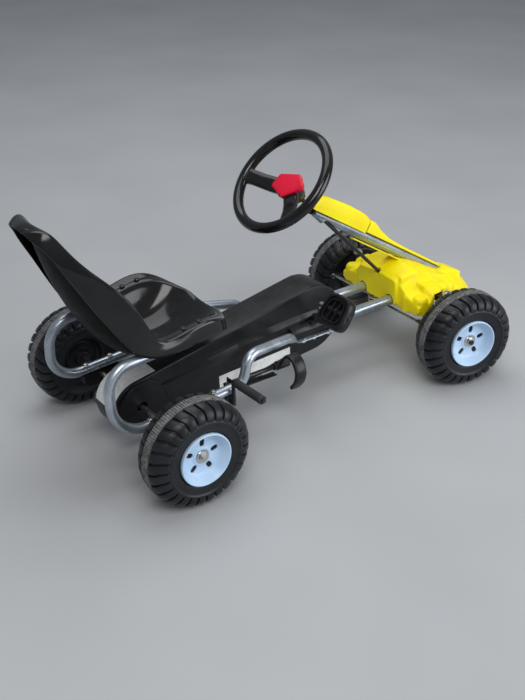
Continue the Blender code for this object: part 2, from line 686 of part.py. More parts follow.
# ---- seat --------------------------------------------------------------------------------
SEAT_ROWS = [
    # middle (x, z), crest (x, y, z), outer edge (x, y, z), flatness of the middle, shelf below the crest
    (-0.2150, 0.5570, -0.2135, 0.025, 0.5545, -0.2085, 0.044, 0.5475, 1.5, 0.0),
    (-0.1960, 0.5640, -0.1920, 0.046, 0.5620, -0.2040, 0.056, 0.5400, 1.5, 0.0),
    (-0.1800, 0.5620, -0.1740, 0.060, 0.5590, -0.1980, 0.066, 0.5340, 1.7, 0.0),
    (-0.1790, 0.5400, -0.1600, 0.072, 0.5380, -0.1890, 0.076, 0.5220, 2.2, 0.0),
    (-0.1730, 0.5180, -0.1460, 0.086, 0.5140, -0.1790, 0.086, 0.5020, 2.4, 0.0),
    (-0.1640, 0.4830, -0.1220, 0.105, 0.4830, -0.1650, 0.092, 0.4750, 2.5, 0.0),
    (-0.1520, 0.4450, -0.0860, 0.127, 0.4480, -0.1480, 0.096, 0.4440, 2.6, 0.0),
    (-0.1360, 0.4050, -0.0580, 0.139, 0.4150, -0.1280, 0.107, 0.4060, 2.8, 0.0),
    (-0.1140, 0.3580, -0.0380, 0.143, 0.3780, -0.1060, 0.122, 0.3690, 3.0, 0.002),
    (-0.0880, 0.3120, -0.0220, 0.143, 0.3440, -0.0850, 0.138, 0.3340, 3.2, 0.004),
    (-0.0550, 0.2700, -0.0080, 0.141, 0.3180, -0.0600, 0.148, 0.3020, 3.5, 0.007),
    (-0.0180, 0.2460, 0.0120, 0.140, 0.3080, -0.0240, 0.151, 0.2800, 3.8, 0.011),
    (0.0250, 0.2350, 0.0450, 0.141, 0.3150, 0.0320, 0.152, 0.2800, 4.0, 0.014),
    (0.0750, 0.2330, 0.0820, 0.143, 0.3260, 0.0800, 0.152, 0.2860, 4.0, 0.015),
    (0.1150, 0.2460, 0.1180, 0.141, 0.3270, 0.1220, 0.148, 0.2900, 3.8, 0.014),
    (0.1430, 0.2620, 0.1470, 0.134, 0.3170, 0.1540, 0.141, 0.2880, 3.4, 0.009),
    (0.1640, 0.2760, 0.1660, 0.114, 0.3060, 0.1720, 0.120, 0.2840, 3.0, 0.004),
    (0.1800, 0.2850, 0.1790, 0.086, 0.2990, 0.1850, 0.091, 0.2790, 2.6, 0.000),
    (0.1880, 0.2860, 0.1870, 0.060, 0.2930, 0.1920, 0.064, 0.2750, 2.2, 0.000),
    (0.1930, 0.2740, 0.1925, 0.056, 0.2810, 0.1960, 0.060, 0.2680, 2.2, 0.000),
]


def seat_section(row):
    """One cross row of the seat: dished middle, a low shelf, a raised lip and a rolled skirt."""
    mx, mz, cx, cy, cz, ex, ey, ez, flat, drop = row
    middle, crest, edge = Vector((mx, 0, mz)), Vector((cx, cy, cz)), Vector((ex, ey, ez))
    outward = (crest - middle).normalized()
    shelf = crest - drop * outward
    half = []
    for u in (0.0, 0.22, 0.42, 0.60, 0.72, 0.80, 0.91):
        point = middle.lerp(shelf, min(1.0, (u / 0.80)) ** flat)
        point.y = cy * u * 0.985
        half.append(point)
    half.append(Vector((crest.x, cy * 0.985, crest.z)))
    half.append(crest.lerp(edge, 0.14) + Vector((0, 0.0035, 0)) + 0.0030 * outward)
    half.append(crest.lerp(edge, 0.45) + Vector((0, 0.0040, 0)))
    half.append(edge)
    mirrored = [Vector((p.x, -p.y, p.z)) for p in reversed(half[1:])]
    return mirrored + half


def seat(paint, root):
    bm = bmesh.new()
    verts = [[bm.verts.new(p) for p in seat_section(row)] for row in SEAT_ROWS]
    for low, high in zip(verts, verts[1:]):
        for i in range(len(low) - 1):
            bm.faces.new((low[i], low[i + 1], high[i + 1], high[i]))
    shell = to_object("seat_shell", bm, paint, root)
    modify(shell, "SOLIDIFY", thickness=SEAT_WALL, offset=-1.0)
    return shell


# ---- fairing -----------------------------------------------------------------------------
NOSE_ROWS = [
    # x, bottom, then (y, z) of: side top, pod's inner edge, block's foot, block's shoulder, and the middle's z
    (0.6920, 0.1530, 0.1410, 0.1690, 0.0960, 0.2000, 0.0880, 0.2120, 0.0780, 0.2220, 0.2240),
    (0.7020, 0.1510, 0.1425, 0.1730, 0.0930, 0.2060, 0.0850, 0.2220, 0.0750, 0.2330, 0.2350),
    (0.7380, 0.1530, 0.1425, 0.1780, 0.0930, 0.2080, 0.0830, 0.2280, 0.0700, 0.2420, 0.2480),
    (0.7500, 0.1540, 0.1405, 0.1950, 0.0930, 0.2120, 0.0760, 0.2270, 0.0580, 0.2400, 0.2480),
    (0.7780, 0.1500, 0.1355, 0.2010, 0.0900, 0.2110, 0.0700, 0.2200, 0.0480, 0.2300, 0.2400),
    (0.8040, 0.1440, 0.1200, 0.1920, 0.0840, 0.2040, 0.0620, 0.2130, 0.0400, 0.2210, 0.2280),
    (0.8400, 0.1330, 0.0960, 0.1720, 0.0720, 0.1860, 0.0520, 0.1950, 0.0320, 0.2030, 0.2080),
    (0.8750, 0.1210, 0.0810, 0.1540, 0.0630, 0.1690, 0.0450, 0.1790, 0.0280, 0.1860, 0.1890),
    (0.9100, 0.1090, 0.0730, 0.1400, 0.0580, 0.1550, 0.0400, 0.1680, 0.0240, 0.1790, 0.1840),
    (0.9450, 0.0990, 0.0600, 0.1220, 0.0520, 0.1360, 0.0360, 0.1480, 0.0200, 0.1580, 0.1640),
    (0.9740, 0.0920, 0.0470, 0.1080, 0.0390, 0.1200, 0.0290, 0.1300, 0.0160, 0.1380, 0.1420),
    (0.9940, 0.0880, 0.0300, 0.0980, 0.0250, 0.1060, 0.0190, 0.1130, 0.0110, 0.1180, 0.1200),
    (1.0040, 0.0880, 0.0150, 0.0930, 0.0120, 0.0980, 0.0090, 0.1020, 0.0060, 0.1040, 0.1050),
]


def nose_ring(row, wall, drop):
    """One closed section of the nose; wall insets it and drop pulls its underside down."""
    x, low, side, side_z = row[:4]
    shrink = (side - wall) / side
    outline = [(side - 0.010, low - drop), (side, low + 0.008 - drop), (side, side_z - wall)]
    outline += [(row[k], row[k + 1] - wall) for k in (4, 6, 8)]
    outline = [(y * shrink, z) for y, z in outline]
    mirrored = [(-y, z) for y, z in reversed(outline)]
    return [Vector((x, y, z)) for y, z in outline + [(0.0, row[10] - wall)] + mirrored]


def fairing(paints, root):
    """The nose shell: open below, with ways through for the rails, column and kingpins."""
    bm = bmesh.new()
    add_loft(bm, [nose_ring(row, 0.0, 0.0) for row in NOSE_ROWS])
    body = to_object("nose_fairing", bm, paints["yellow"], root, 28.0)
    wall = 0.0032
    tongue = bmesh.new()
    under = -0.0158
    up = Vector((-TUBE_SLOPE, 0, 1.0)).normalized()
    rings = []
    for x, half in ((0.6150, 0.0100), (0.6400, 0.0150), (0.7560, 0.0180)):
        base = Vector((x, 0, tube_z(x)))
        corners = ((-half, under - 0.0026), (half, under - 0.0026), (half, under), (-half, under))
        rings.append([base + h * up + Vector((0, y, 0)) for y, h in corners])
    add_loft(tongue, rings)
    combine(body, cutter_object("nose_tongue_tool", tongue, root), "UNION")
    inner = [tuple(row) for row in NOSE_ROWS]
    inner[0] = (inner[0][0] + wall,) + inner[0][1:]
    inner[-1] = (inner[-1][0] - wall,) + inner[-1][1:]
    bm = bmesh.new()
    add_loft(bm, [nose_ring(row, wall, 0.06) for row in inner])
    combine(body, cutter_object("nose_inside_tool", bm, root), "DIFFERENCE")
    for side, s in SIDES.items():
        bm = bmesh.new()
        r = RAIL_R + 0.0020
        outline = [(s * RAIL_Y - r, 0.0), (s * RAIL_Y + r, 0.0)]
        for k in range(7):
            a = math.pi * k / 6
            outline.append((s * RAIL_Y + r * math.cos(a), RAIL_Z + r * math.sin(a)))
        add_loft(bm, [[Vector((x, y, z)) for y, z in outline] for x in (0.66, 0.71)])
        combine(body, cutter_object(side + "_rail_arch_tool", bm, root), "DIFFERENCE")
        y_in, y_out = sorted((s * 0.1150, s * 0.1800))
        low, high = (WHEELBASE - 0.020, y_in, 0.10), (WHEELBASE + 0.020, y_out, 0.1965)
        cut_box(body, side + "_beam_notch_tool", root, low, high)
    bend = pitman_top()
    along = column_dir()
    cut_rod(body, "column_hole_tool", root, bend - 0.060 * along, bend - 0.004 * along, COLUMN_R + 0.0030, 16)
    cut_rod(body, "nose_tube_tool", root, Vector((0.66, 0, tube_z(0.66))), Vector((0.9040, 0, tube_z(0.9040))),
            TUBE_R + 0.0010, 24)
    return body


COVER_CREST = [(0.4700, 0.0360), (0.5150, 0.0450), (0.5670, 0.0480), (0.6040, 0.0470), (0.6500, 0.0395),
               (0.6800, 0.0270), (0.7130, 0.0190), (0.7600, 0.0165), (0.8920, 0.0152)]


def crest_at(x):
    """Height of the covers' top above the support tube's axis, square to the tube."""
    for (x0, h0), (x1, h1) in zip(COVER_CREST, COVER_CREST[1:]):
        if x <= x1:
            return h0 + (h1 - h0) * max(x - x0, 0.0) / (x1 - x0)
    return COVER_CREST[-1][1]


def column_covers(paints, root):
    """Two yellow covers clipped over the top of the support tube."""
    spans = {"column_cover_upper": (0.4760, 0.6320, 0.0060), "column_cover_lower": (0.6350, 0.8880, 0.0085)}
    up = Vector((-TUBE_SLOPE, 0, 1.0)).normalized()
    for name, (x0, x1, low) in spans.items():
        bm = bmesh.new()
        rings = []
        for i in range(9):
            x = x0 + (x1 - x0) * i / 8
            base = Vector((x, 0, tube_z(x)))
            height = crest_at(x)
            half = TUBE_R + 0.0040
            shoulder = min(0.008, (height - low) * 0.45)
            outer = [(half, low), (half, height - shoulder), (half - 0.0070, height)]
            inner_top = max(height - 0.0026, TUBE_R + 0.0004)
            inner = [(half - 0.0085, inner_top), (half - 0.0030, inner_top - shoulder * 0.6),
                     (half - 0.0030, low)]
            ring = outer + [(-y, h) for y, h in reversed(outer)]
            ring += [(-y, h) for y, h in reversed(inner)] + inner
            rings.append([base + h * up + Vector((0, y, 0)) for y, h in ring])
        add_loft(bm, rings)
        to_object(name, bm, paints["yellow"], root)


# ---- steering ----------------------------------------------------------------------------
def steering(paints, root):
    axis = empty("steering_axis", STEER_CENTRE, root)
    d = column_dir()
    axis.rotation_mode = "QUATERNION"
    axis.rotation_quaternion = Matrix.Rotation(STEER_AT_REST, 3, d).to_quaternion()
    steering_wheel(paints, axis, d)
    bend = pitman_top()
    top = STEER_CENTRE + 0.0420 * d
    path = rounded_path([top, bend, (bend.x, 0, TIE_Z - 0.0220)], 0.0120, 5)
    simple("steering_column", paints["black_steel"], axis, lambda bm: add_tube(bm, path, COLUMN_R, 14))


def steering_wheel(paints, axis, d):
    """Rim, two wide spokes and a deep hub moulded in one piece."""
    up = Vector((math.cos(STEER_TILT), 0, math.sin(STEER_TILT)))
    left = Vector((0, 1, 0))
    bm = bmesh.new()
    rings = []
    for k in range(44):
        a = 2 * math.pi * k / 44
        out = math.cos(a) * up + math.sin(a) * left
        ring = []
        for q in range(10):
            b = 2 * math.pi * q / 10
            ring.append(STEER_CENTRE + (RIM_R + RIM_TUBE_R * math.cos(b)) * out + RIM_TUBE_R * math.sin(b) * d)
        rings.append(ring)
    add_loft(bm, rings + [rings[0]], closed_ends=False)
    bmesh.ops.remove_doubles(bm, verts=bm.verts, dist=0.00001)
    body = to_object("steering_wheel", bm, paints["satin_black"], axis)
    tools = bmesh.new()
    hub = [(0.0253, 0.0), (0.0253, 0.026), (0.040, 0.027), (0.070, 0.017), (0.070, 0.0)]
    add_turned(tools, STEER_CENTRE, d, hub, 24)
    combine(body, cutter_object("wheel_hub_tool", tools, axis), "UNION")
    for name, turn in (("left", 64.5), ("right", -64.5)):
        a = math.radians(180.0 - turn)
        out = math.cos(a) * up + math.sin(a) * left
        across = d.cross(out)
        spoke = bmesh.new()
        rings = []
        for reach, half, deep, thick in ((0.0, 0.016, 0.034, 0.0085), (0.052, 0.017, 0.0338, 0.0080),
                                         (0.085, 0.015, 0.011, 0.007), (0.1160, 0.018, 0.0, 0.006)):
            centre = STEER_CENTRE + reach * out + deep * d
            corners = ((-1, -1), (1, -1), (1, 1), (-1, 1))
            ring = [centre + sy * half * across + sz * thick * d for sy, sz in corners]
            rings.append(ring)
        add_loft(spoke, rings)
        combine(body, cutter_object(name + "_spoke_tool", spoke, axis), "UNION")
    cut_rod(body, "wheel_bore_tool", axis, STEER_CENTRE + 0.0415 * d, STEER_CENTRE + 0.09 * d, COLUMN_R + 0.0002, 16)
    badge = bmesh.new()
    corners = [(0.0050 + u, v) for u, v in (
        (0.0330, 0.0240), (0.0330, -0.0240), (-0.0030, -0.0460), (-0.0330, 0.0), (-0.0030, 0.0460))]
    rings = []
    for out_by, size in ((0.0250, 0.96), (0.0200, 1.0), (0.0178, 0.90)):
        ring = []
        for k in range(5):
            before, here, after = (Vector((*corners[(k + i) % 5], 0)) for i in (-1, 0, 1))
            for flat in (here.lerp(before, 0.14), here.lerp(after, 0.14)):
                ring.append(STEER_CENTRE + out_by * d + size * (flat.x * up + flat.y * left))
        rings.append(ring)
    add_loft(badge, rings)
    to_object("steering_wheel_badge", badge, paints["red"], axis, 0)


def knuckles(paints, root):
    """Stub axles that turn on the kingpins, with the front wheels and their steering arms."""
    turn = -STEER_RATIO * STEER_AT_REST
    arm_end_x = PITMAN_X
    for side, s in SIDES.items():
        pin = Vector((WHEELBASE, s * KINGPIN_Y, WHEEL_R))
        pivot = empty(side + "_kingpin_axis", pin, root)
        pivot.rotation_euler = (0, 0, turn)

        def build(bm, pin=pin):
            add_rod(bm, (pin.x, pin.y, 0.1020), (pin.x, pin.y, 0.1476), 0.0140, 24)
        body = simple(side + "_knuckle", paints["black_steel"], pivot, build)
        tip = STUB_OUT + 0.0390
        ahead = pin.x + STUB_AHEAD
        tool = bmesh.new()
        add_rod(tool, (ahead, pin.y, WHEEL_R), (ahead, pin.y + s * tip, WHEEL_R), AXLE_R, 20)
        combine(body, cutter_object(side + "_stub_tool", tool, pivot), "UNION")
        tool = bmesh.new()
        outline = [(arm_end_x - 0.009, TIE_Z - 0.0018), (pin.x, TIE_Z - 0.0018),
                   (pin.x, TIE_Z + 0.0014), (arm_end_x - 0.009, TIE_Z + 0.0014)]
        add_prism(tool, outline, pin.y - 0.0080, pin.y + 0.0080)
        combine(body, cutter_object(side + "_arm_tool", tool, pivot), "UNION")
        cut_rod(body, side + "_arm_hole_tool", pivot, (arm_end_x, pin.y, 0.13), (arm_end_x, pin.y, 0.16), 0.0037, 16)
        low, high = (pin.x, pin.y, 0.09), (pin.x, pin.y, 0.16)
        cut_rod(body, side + "_knuckle_bore_tool", pivot, low, high, 0.0053, 20)
        kingpin(side, paints["steel"], root, pin)
        hub = empty("front_" + side + "_wheel_axis", (ahead, pin.y, WHEEL_R), pivot)
        centre = (ahead, pin.y + s * STUB_OUT, WHEEL_R)
        wheel("front_" + side, paints, hub, centre, s)
        threaded_nut("front_" + side + "_axle_nut", paints["steel"], pivot, centre, s, 0.0292, AXLE_R + GAP)
        tie_rod(side, paints["steel"], root, pin, s, turn)


def kingpin(side, paint, root, pin):
    """Bolt down through the beam's sleeve and the knuckle, with its domed head on top."""
    def build(bm):
        place = (pin.x, pin.y, 0.0)
        add_turned(bm, place, (0, 0, 1), [(0.0920, 0.0), (0.0920, 0.0050), (0.1963, 0.0050), (0.1963, 0.0125),
                                          (0.2020, 0.0120), (0.2070, 0.0080), (0.2085, 0.0)], 16)
    simple(side + "_kingpin", paint, root, build)


def tie_rod(side, paint, root, pin, s, turn):
    """Flat-eyed rod from the knuckle's arm in to the cranked end of the column."""
    arm = Matrix.Rotation(turn, 3, "Z") @ Vector((PITMAN_X - WHEELBASE, 0, 0))
    outer = Vector((pin.x + arm.x, pin.y + arm.y, TIE_Z))
    pivot = empty(side + "_tie_rod_axis", outer, root)
    level = TIE_Z + 0.0036 if s > 0 else TIE_Z - 0.0040
    shift = arm.y
    inner_y = shift

    def build(bm):
        add_rod(bm, (outer.x, outer.y, TIE_Z - 0.0058), (outer.x, outer.y, TIE_Z + 0.0052), 0.0034, 12)
    rod = simple(side + "_tie_rod", paint, pivot, build)
    tool = bmesh.new()
    half = 0.0040
    low, high = level - 0.0012, level + 0.0012
    outline = [(outer.x - half, low), (outer.x + half, low), (outer.x + half, high), (outer.x - half, high)]
    y_far = inner_y + s * 0.0150
    add_prism(tool, outline, min(y_far, outer.y), max(y_far, outer.y))
    combine(rod, cutter_object(side + "_tie_bar_tool", tool, pivot), "UNION")
    tool = bmesh.new()
    add_turned(tool, (outer.x, inner_y, 0), (0, 0, 1),
               [(low, 0.0125), (low, 0.0170), (high, 0.0170), (high, 0.0125)], 20)
    combine(rod, cutter_object(side + "_tie_eye_tool", tool, pivot), "UNION")


# ---- hand levers -------------------------------------------------------------------------
def brake_lever(paints, root):
    """Bent rod beside the right rear wheel; pulled back, its sleeve rubs on the tyre."""
    x, low, high, y = 0.1570, 0.1180, 0.1760, -0.1580
    bracket_top = leg_z(x - 0.012) - SIDE_R - GAP
    corners = (x - 0.012, -0.1500, low - 0.0100), (x + 0.012, -0.1390, bracket_top)
    bracket = simple("brake_bracket", paints["black_steel"], root, lambda bm: add_box(bm, *corners), 0)
    cut_rod(bracket, "brake_bore_tool", root, (x, -0.17, low), (x, -0.12, low), 0.0046, 16)
    axis = empty("brake_axis", (x, 0, low), root)
    path = rounded_path([(x, -0.1370, low), (x, y, low), (x, y, high), (x + 0.004, -0.2620, high)], 0.0080, 4)
    simple("brake_lever", paints["black_steel"], axis, lambda bm: add_tube(bm, path, 0.0045, 12))
    length, ribs = 0.0880, 7
    profile = [(0.0, 0.0048)]
    for k in range(ribs):
        start, step = length * k / ribs, length / ribs
        profile += [(start + step * 0.1, 0.0082), (start + step * 0.5, 0.0098)]
    profile += [(length, 0.0082), (length, 0.0048)]
    grip_from = Vector((x + 0.0003, -0.1690, high))
    grip_dir = (path[-1] - path[-2]).normalized()
    simple("brake_lever_grip", paints["grip"], axis,
           lambda bm: add_turned(bm, grip_from, grip_dir, profile, 12))


def ribbon(points, half):
    """Outline of a strip of constant thickness along a line of (a, b) points."""
    left, right = [], []
    for i, here in enumerate(points):
        before, after = points[max(i - 1, 0)], points[min(i + 1, len(points) - 1)]
        da, db = after[0] - before[0], after[1] - before[1]
        size = math.hypot(da, db)
        left.append((here[0] - half * db / size, here[1] + half * da / size))
        right.append((here[0] + half * db / size, here[1] - half * da / size))
    return left + right[::-1]


def shift_lever(paints, root):
    """Drive lever: a bar along the kart that turns in its strap, with a hooked handle."""
    y, z, rod_r = -0.1190, 0.1470, 0.0050
    back_x, front_x, low, thick = 0.1720, 0.2950, 0.1290, 0.0028
    outline = [(0.1200, low), (front_x, low), (front_x, 0.1880), (front_x - thick, 0.1880),
               (front_x - thick, low + thick), (back_x + thick, low + thick), (back_x + thick, 0.1580),
               (back_x, 0.1580), (back_x, low + thick), (0.1200, low + thick)]
    strap = simple("shift_strap", paints["black_steel"], root,
                   lambda bm: add_prism(bm, outline, y - 0.0085, y + 0.0085), 0)
    tab = bmesh.new()
    add_box(tab, (0.1190, -0.1500, low - 0.0001), (0.1420, y, low + thick + 0.0001))
    combine(strap, cutter_object("shift_tab_tool", tab, root), "UNION")
    cut_rod(strap, "shift_bore_tool", root, (back_x - 0.02, y, z), (front_x + 0.02, y, z), rod_r + 0.0002, 16)
    axis = empty("shift_axis", (0, y, z), root)
    simple("shift_rod", paints["steel"], axis,
           lambda bm: add_rod(bm, (back_x - 0.0120, y, z), (front_x + 0.0360, y, z), rod_r, 16))
    line = [(-0.1180, 0.1400), (-0.1270, 0.1530), (-0.1400, 0.1730), (-0.1560, 0.1830), (-0.1730, 0.1760),
            (-0.1840, 0.1550), (-0.1800, 0.1310), (-0.1660, 0.1110)]
    bm = bmesh.new()
    outline = ribbon(line, 0.0032)
    x0, x1 = front_x + 0.0060, front_x + 0.0340
    add_loft(bm, [[Vector((x, a, b)) for a, b in outline] for x in (x0, x1)])
    handle = to_object("shift_handle", bm, paints["satin_black"], axis)
    bm = bmesh.new()
    add_rod(bm, (x0 - 0.0010, y, z), (x1 + 0.0010, y, z), 0.0100, 20)
    combine(handle, cutter_object("shift_boss_tool", bm, axis), "UNION")
    cut_rod(handle, "shift_handle_bore_tool", axis, (x0 - 0.02, y, z), (x1 + 0.02, y, z), rod_r + GAP, 16)


def seat_bolts(paint, root):
    """Two bolts through each side shelf of the seat and the flattened tube end below it."""
    places = {"back": (0.0620, 0.3146), "front": (0.0990, 0.3204)}
    for side, s in SIDES.items():
        for which, (x, z) in places.items():
            y = s * (UPPER_Y - 0.0016)
            name = f"{side}_{which}_seat_bolt"

            def build(bm, x=x, y=y, z=z):
                profile = [(-0.0300, 0.0), (-0.0300, 0.0029), (0.0006, 0.0029), (0.0006, 0.0065),
                           (0.0030, 0.0050), (0.0040, 0.0)]
                add_turned(bm, (x, y, z), (0, 0, 1), profile, 12)
            simple(name, paint, root, build)
            start, end = (x, y, z - 0.05), (x, y, z + 0.02)
            for held in ("seat_shell", side + "_side_tube"):
                cut_rod(bpy.data.objects[held], f"{name}_{held}_tool", root, start, end, 0.0033, 12)


def main():
    clear_scene()
    paints = make_materials()
    root = empty("kart", (0, 0, 0))
    root.location = (-MIDDLE_X, 0, 0)
    main_rails(paints["silver"], root)
    side_tubes(paints["silver"], root)
    front_beam(paints["black_steel"], root)
    column_tube(paints["silver"], root)
    head_bush(paints["satin_black"], root)
    crank_hanger(paints, root)
    axle_bearings(paints["satin_black"], root)
    rear_wheels(paints, root)
    crank_set(paints, root)
    chain(paints["steel"], root)
    chain_case(paints, root)
    seat(paints["gloss_black"], root)
    fairing(paints, root)
    column_covers(paints, root)
    steering(paints, root)
    knuckles(paints, root)
    brake_lever(paints, root)
    shift_lever(paints, root)
    seat_bolts(paints["steel"], root)
    bpy.context.view_layer.update()


main()
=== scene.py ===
"""Looks of the pedal go kart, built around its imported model.

Metres, +Z up, +X towards the nose, +Y towards the rider's left. Lengths along the kart are
measured from the rear axle, and piece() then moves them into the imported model's frame.
"""

import json
from math import asin, atan2, cos, degrees, hypot, pi, radians, sin, tan

import bmesh
import bpy
from mathutils import Matrix, Vector


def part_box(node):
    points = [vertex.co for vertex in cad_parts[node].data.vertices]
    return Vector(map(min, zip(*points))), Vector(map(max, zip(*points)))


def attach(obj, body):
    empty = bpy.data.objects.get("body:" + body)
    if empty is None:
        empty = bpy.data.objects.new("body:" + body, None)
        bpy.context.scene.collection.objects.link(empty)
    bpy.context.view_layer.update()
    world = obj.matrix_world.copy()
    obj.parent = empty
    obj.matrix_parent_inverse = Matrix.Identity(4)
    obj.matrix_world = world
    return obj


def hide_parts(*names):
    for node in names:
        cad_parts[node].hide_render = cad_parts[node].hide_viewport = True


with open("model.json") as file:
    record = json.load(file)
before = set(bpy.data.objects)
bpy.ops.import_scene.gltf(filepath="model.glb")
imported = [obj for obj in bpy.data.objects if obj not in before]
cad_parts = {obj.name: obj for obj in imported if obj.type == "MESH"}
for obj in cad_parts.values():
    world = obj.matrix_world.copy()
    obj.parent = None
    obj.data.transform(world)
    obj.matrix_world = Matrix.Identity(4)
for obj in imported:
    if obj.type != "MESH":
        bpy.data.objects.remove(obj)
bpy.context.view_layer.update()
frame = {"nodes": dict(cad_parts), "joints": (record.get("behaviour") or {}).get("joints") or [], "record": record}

RECORD = frame["record"]
BODY_OF = {n: body for body, nodes in RECORD["behaviour"]["bodies"].items() for n in nodes}


def middle(node):
    low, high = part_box(node)
    return (low + high) / 2


def mm(values):
    """Millimetres, in lists within lists, turned into metres."""
    return [mm(v) for v in values] if isinstance(values, (list, tuple)) else values / 1000


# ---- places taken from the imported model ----
BACK = middle("rear_axle").x
WHEEL_R = middle("rear_axle").z
KINGPIN_X = middle("left_kingpin").x - BACK
KINGPIN_Y = middle("left_kingpin").y
CRANK_X = middle("front_sprocket").x - BACK
CRANK_Z = middle("front_sprocket").z
RAIL_Z = middle("left_main_rail").z
RAIL_Y = middle("left_main_rail").y

# ---- sizes shared by several pieces ----
LOBES = 28                     # raised blocks round each tyre shoulder
GROOVE = 0.005                # how deep the gaps between them are
RAIL_R = 0.0125
SIDE_R = 0.011
SIDE_Y = 0.1395
UPPER_Y = 0.125
HEAD = Vector((0.5033, 0.0, 0.4157))       # where the column passes through its top bush
TUBE_SLOPE = -0.6138
TUBE_R = 0.0125
TUBE_FRONT_X = 0.9
STEER_CENTRE = Vector((0.4014, 0.0, 0.5165))
STEER_TILT = radians(45.3)
STEER_AT_REST = radians(14.5)
RIM_R = 0.1164
RIM_TUBE_R = 0.012
PITMAN_X = 0.702
SIDES = {"left": 1.0, "right": -1.0}
CORNERS = {"front_left": 1.0, "front_right": -1.0, "rear_left": 1.0, "rear_right": -1.0}


# ---- materials ----
class Nodes:
    """A material's node tree, with short ways to add the nodes that these finishes use."""

    def __init__(self, name):
        self.material = bpy.data.materials.new(name)
        self.material.use_nodes = True
        self.tree = self.material.node_tree
        self.shader = self.tree.nodes["Principled BSDF"]
        self.place = self.add("TexCoord").outputs["Object"]

    def fill(self, node, **inputs):
        """Each input takes a value, or another node's output."""
        for name, value in inputs.items():
            socket = node.inputs[name.replace("_", " ")]
            if isinstance(value, bpy.types.NodeSocket):
                self.tree.links.new(value, socket)
            else:
                socket.default_value = value
        return node

    def add(self, kind, **inputs):
        return self.fill(self.tree.nodes.new("ShaderNode" + kind), **inputs)

    def noise(self, size, detail=3.0):
        """Noise whose features are about size metres across."""
        return self.add("TexNoise", Scale=1.0 / size, Detail=detail, Vector=self.place).outputs["Fac"]

    def ramp(self, value, low, high, dark, light):
        """Two colours mixed by a value between low and high."""
        node = self.add("ValToRGB", Fac=value)
        for end, position, colour in zip(node.color_ramp.elements, (low, high), (dark, light)):
            end.position = position
            end.color = (*colour, 1.0)
        return node.outputs["Color"]

    def spread(self, value, low, high):
        """Noise, which stays near its middle, spread out between low and high."""
        node = self.add("MapRange", From_Min=0.3, From_Max=0.7, To_Min=low, To_Max=high, Value=value)
        return node.outputs["Result"]

    def mix(self, share, a, b):
        node = self.add("Mix")
        node.data_type = "RGBA"
        return self.fill(node, Factor=share, A=a, B=b).outputs["Result"]

    def upward(self, low, high):
        """1 where the surface faces up, 0 where it doesn't: where dust settles."""
        split = self.add("SeparateXYZ", Vector=self.add("NewGeometry").outputs["Normal"])
        return self.add("MapRange", From_Min=low, From_Max=high, Value=split.outputs["Z"]).outputs["Result"]

    def times(self, a, b):
        node = self.add("Math")
        node.operation = "MULTIPLY"
        for value, socket in zip((a, b), node.inputs):
            self.tree.links.new(value, socket)
        return node.outputs[0]

    def bump(self, height, strength, distance=0.0004):
        node = self.add("Bump", Strength=strength, Distance=distance, Height=height)
        self.set(Normal=node.outputs["Normal"])

    def set(self, **inputs):
        self.fill(self.shader, **inputs)


def finish_paint(name, dark, light, rough, grain, bump, metallic=0.0, coat=0.0, dust=None):
    """A finish with blotchy colour, uneven roughness, fine grain, and dust on what faces up."""
    n = Nodes(name)
    colour = n.ramp(n.noise(0.06, 4.0), 0.35, 0.68, dark, light)
    if dust:
        tone, share, low = dust
        cover = n.times(n.upward(low, 1.0), n.spread(n.noise(0.018, 5.0), 0.25 * share, share))
        flat = n.ramp(n.noise(0.004, 2.0), 0.2, 0.9, tuple(0.8 * t for t in tone), tone)
        colour = n.mix(cover, colour, flat)
    n.set(Base_Color=colour, Roughness=n.spread(n.noise(0.02, 4.0), *rough), Metallic=metallic,
          Coat_Weight=coat, Coat_Roughness=0.12, Specular_IOR_Level=0.5 if metallic else 0.32)
    n.bump(n.noise(grain), bump)
    return n.material


def make_paints():
    dust_grey, dust_brown = (0.2, 0.2, 0.19), (0.16, 0.15, 0.13)
    rows = [
        # dark and light colour, roughness, grain size and depth, metal, coat, dust
        ("silver_paint", (0.36, 0.41, 0.47), (0.5, 0.55, 0.61), (0.24, 0.38), 0.0012, 0.12, 0.75, 0.2),
        ("black_paint", (0.01, 0.01, 0.011), (0.02, 0.02, 0.022), (0.28, 0.42), 0.001, 0.1, 0.0, 0.3),
        ("zinc_steel", (0.5, 0.5, 0.48), (0.72, 0.72, 0.7), (0.22, 0.4), 0.0008, 0.12, 1.0),
        ("yellow_plastic", (0.96, 0.76, 0.0), (1.0, 0.86, 0.0), (0.36, 0.52), 0.0012, 0.1),
        ("gloss_black_plastic", (0.004, 0.004, 0.0045), (0.009, 0.009, 0.009), (0.08, 0.17), 0.03, 0.06,
         0.0, 0.22, (dust_brown, 0.05, 0.2)),
        ("satin_black_plastic", (0.006, 0.006, 0.007), (0.012, 0.012, 0.013), (0.28, 0.42), 0.0009, 0.12,
         0.0, 0.0, (dust_grey, 0.1, 0.7)),
        ("wheel_plastic", (0.007, 0.008, 0.01), (0.015, 0.017, 0.021), (0.3, 0.46), 0.0014, 0.2,
         0.0, 0.0, (dust_grey, 0.06, 0.5)),
        ("hub_plastic", (0.44, 0.6, 0.8), (0.54, 0.7, 0.88), (0.24, 0.4), 0.0016, 0.08),
        ("red_plastic", (0.66, 0.004, 0.03), (0.78, 0.008, 0.045), (0.28, 0.42), 0.0012, 0.1),
        ("grip_rubber", (0.02, 0.02, 0.021), (0.04, 0.04, 0.041), (0.6, 0.8), 0.0006, 0.35),
    ]
    paints = {name: finish_paint(name, *row) for name, *row in rows}
    paints["tread_rubber"] = tread_finish("tread_rubber")
    return paints


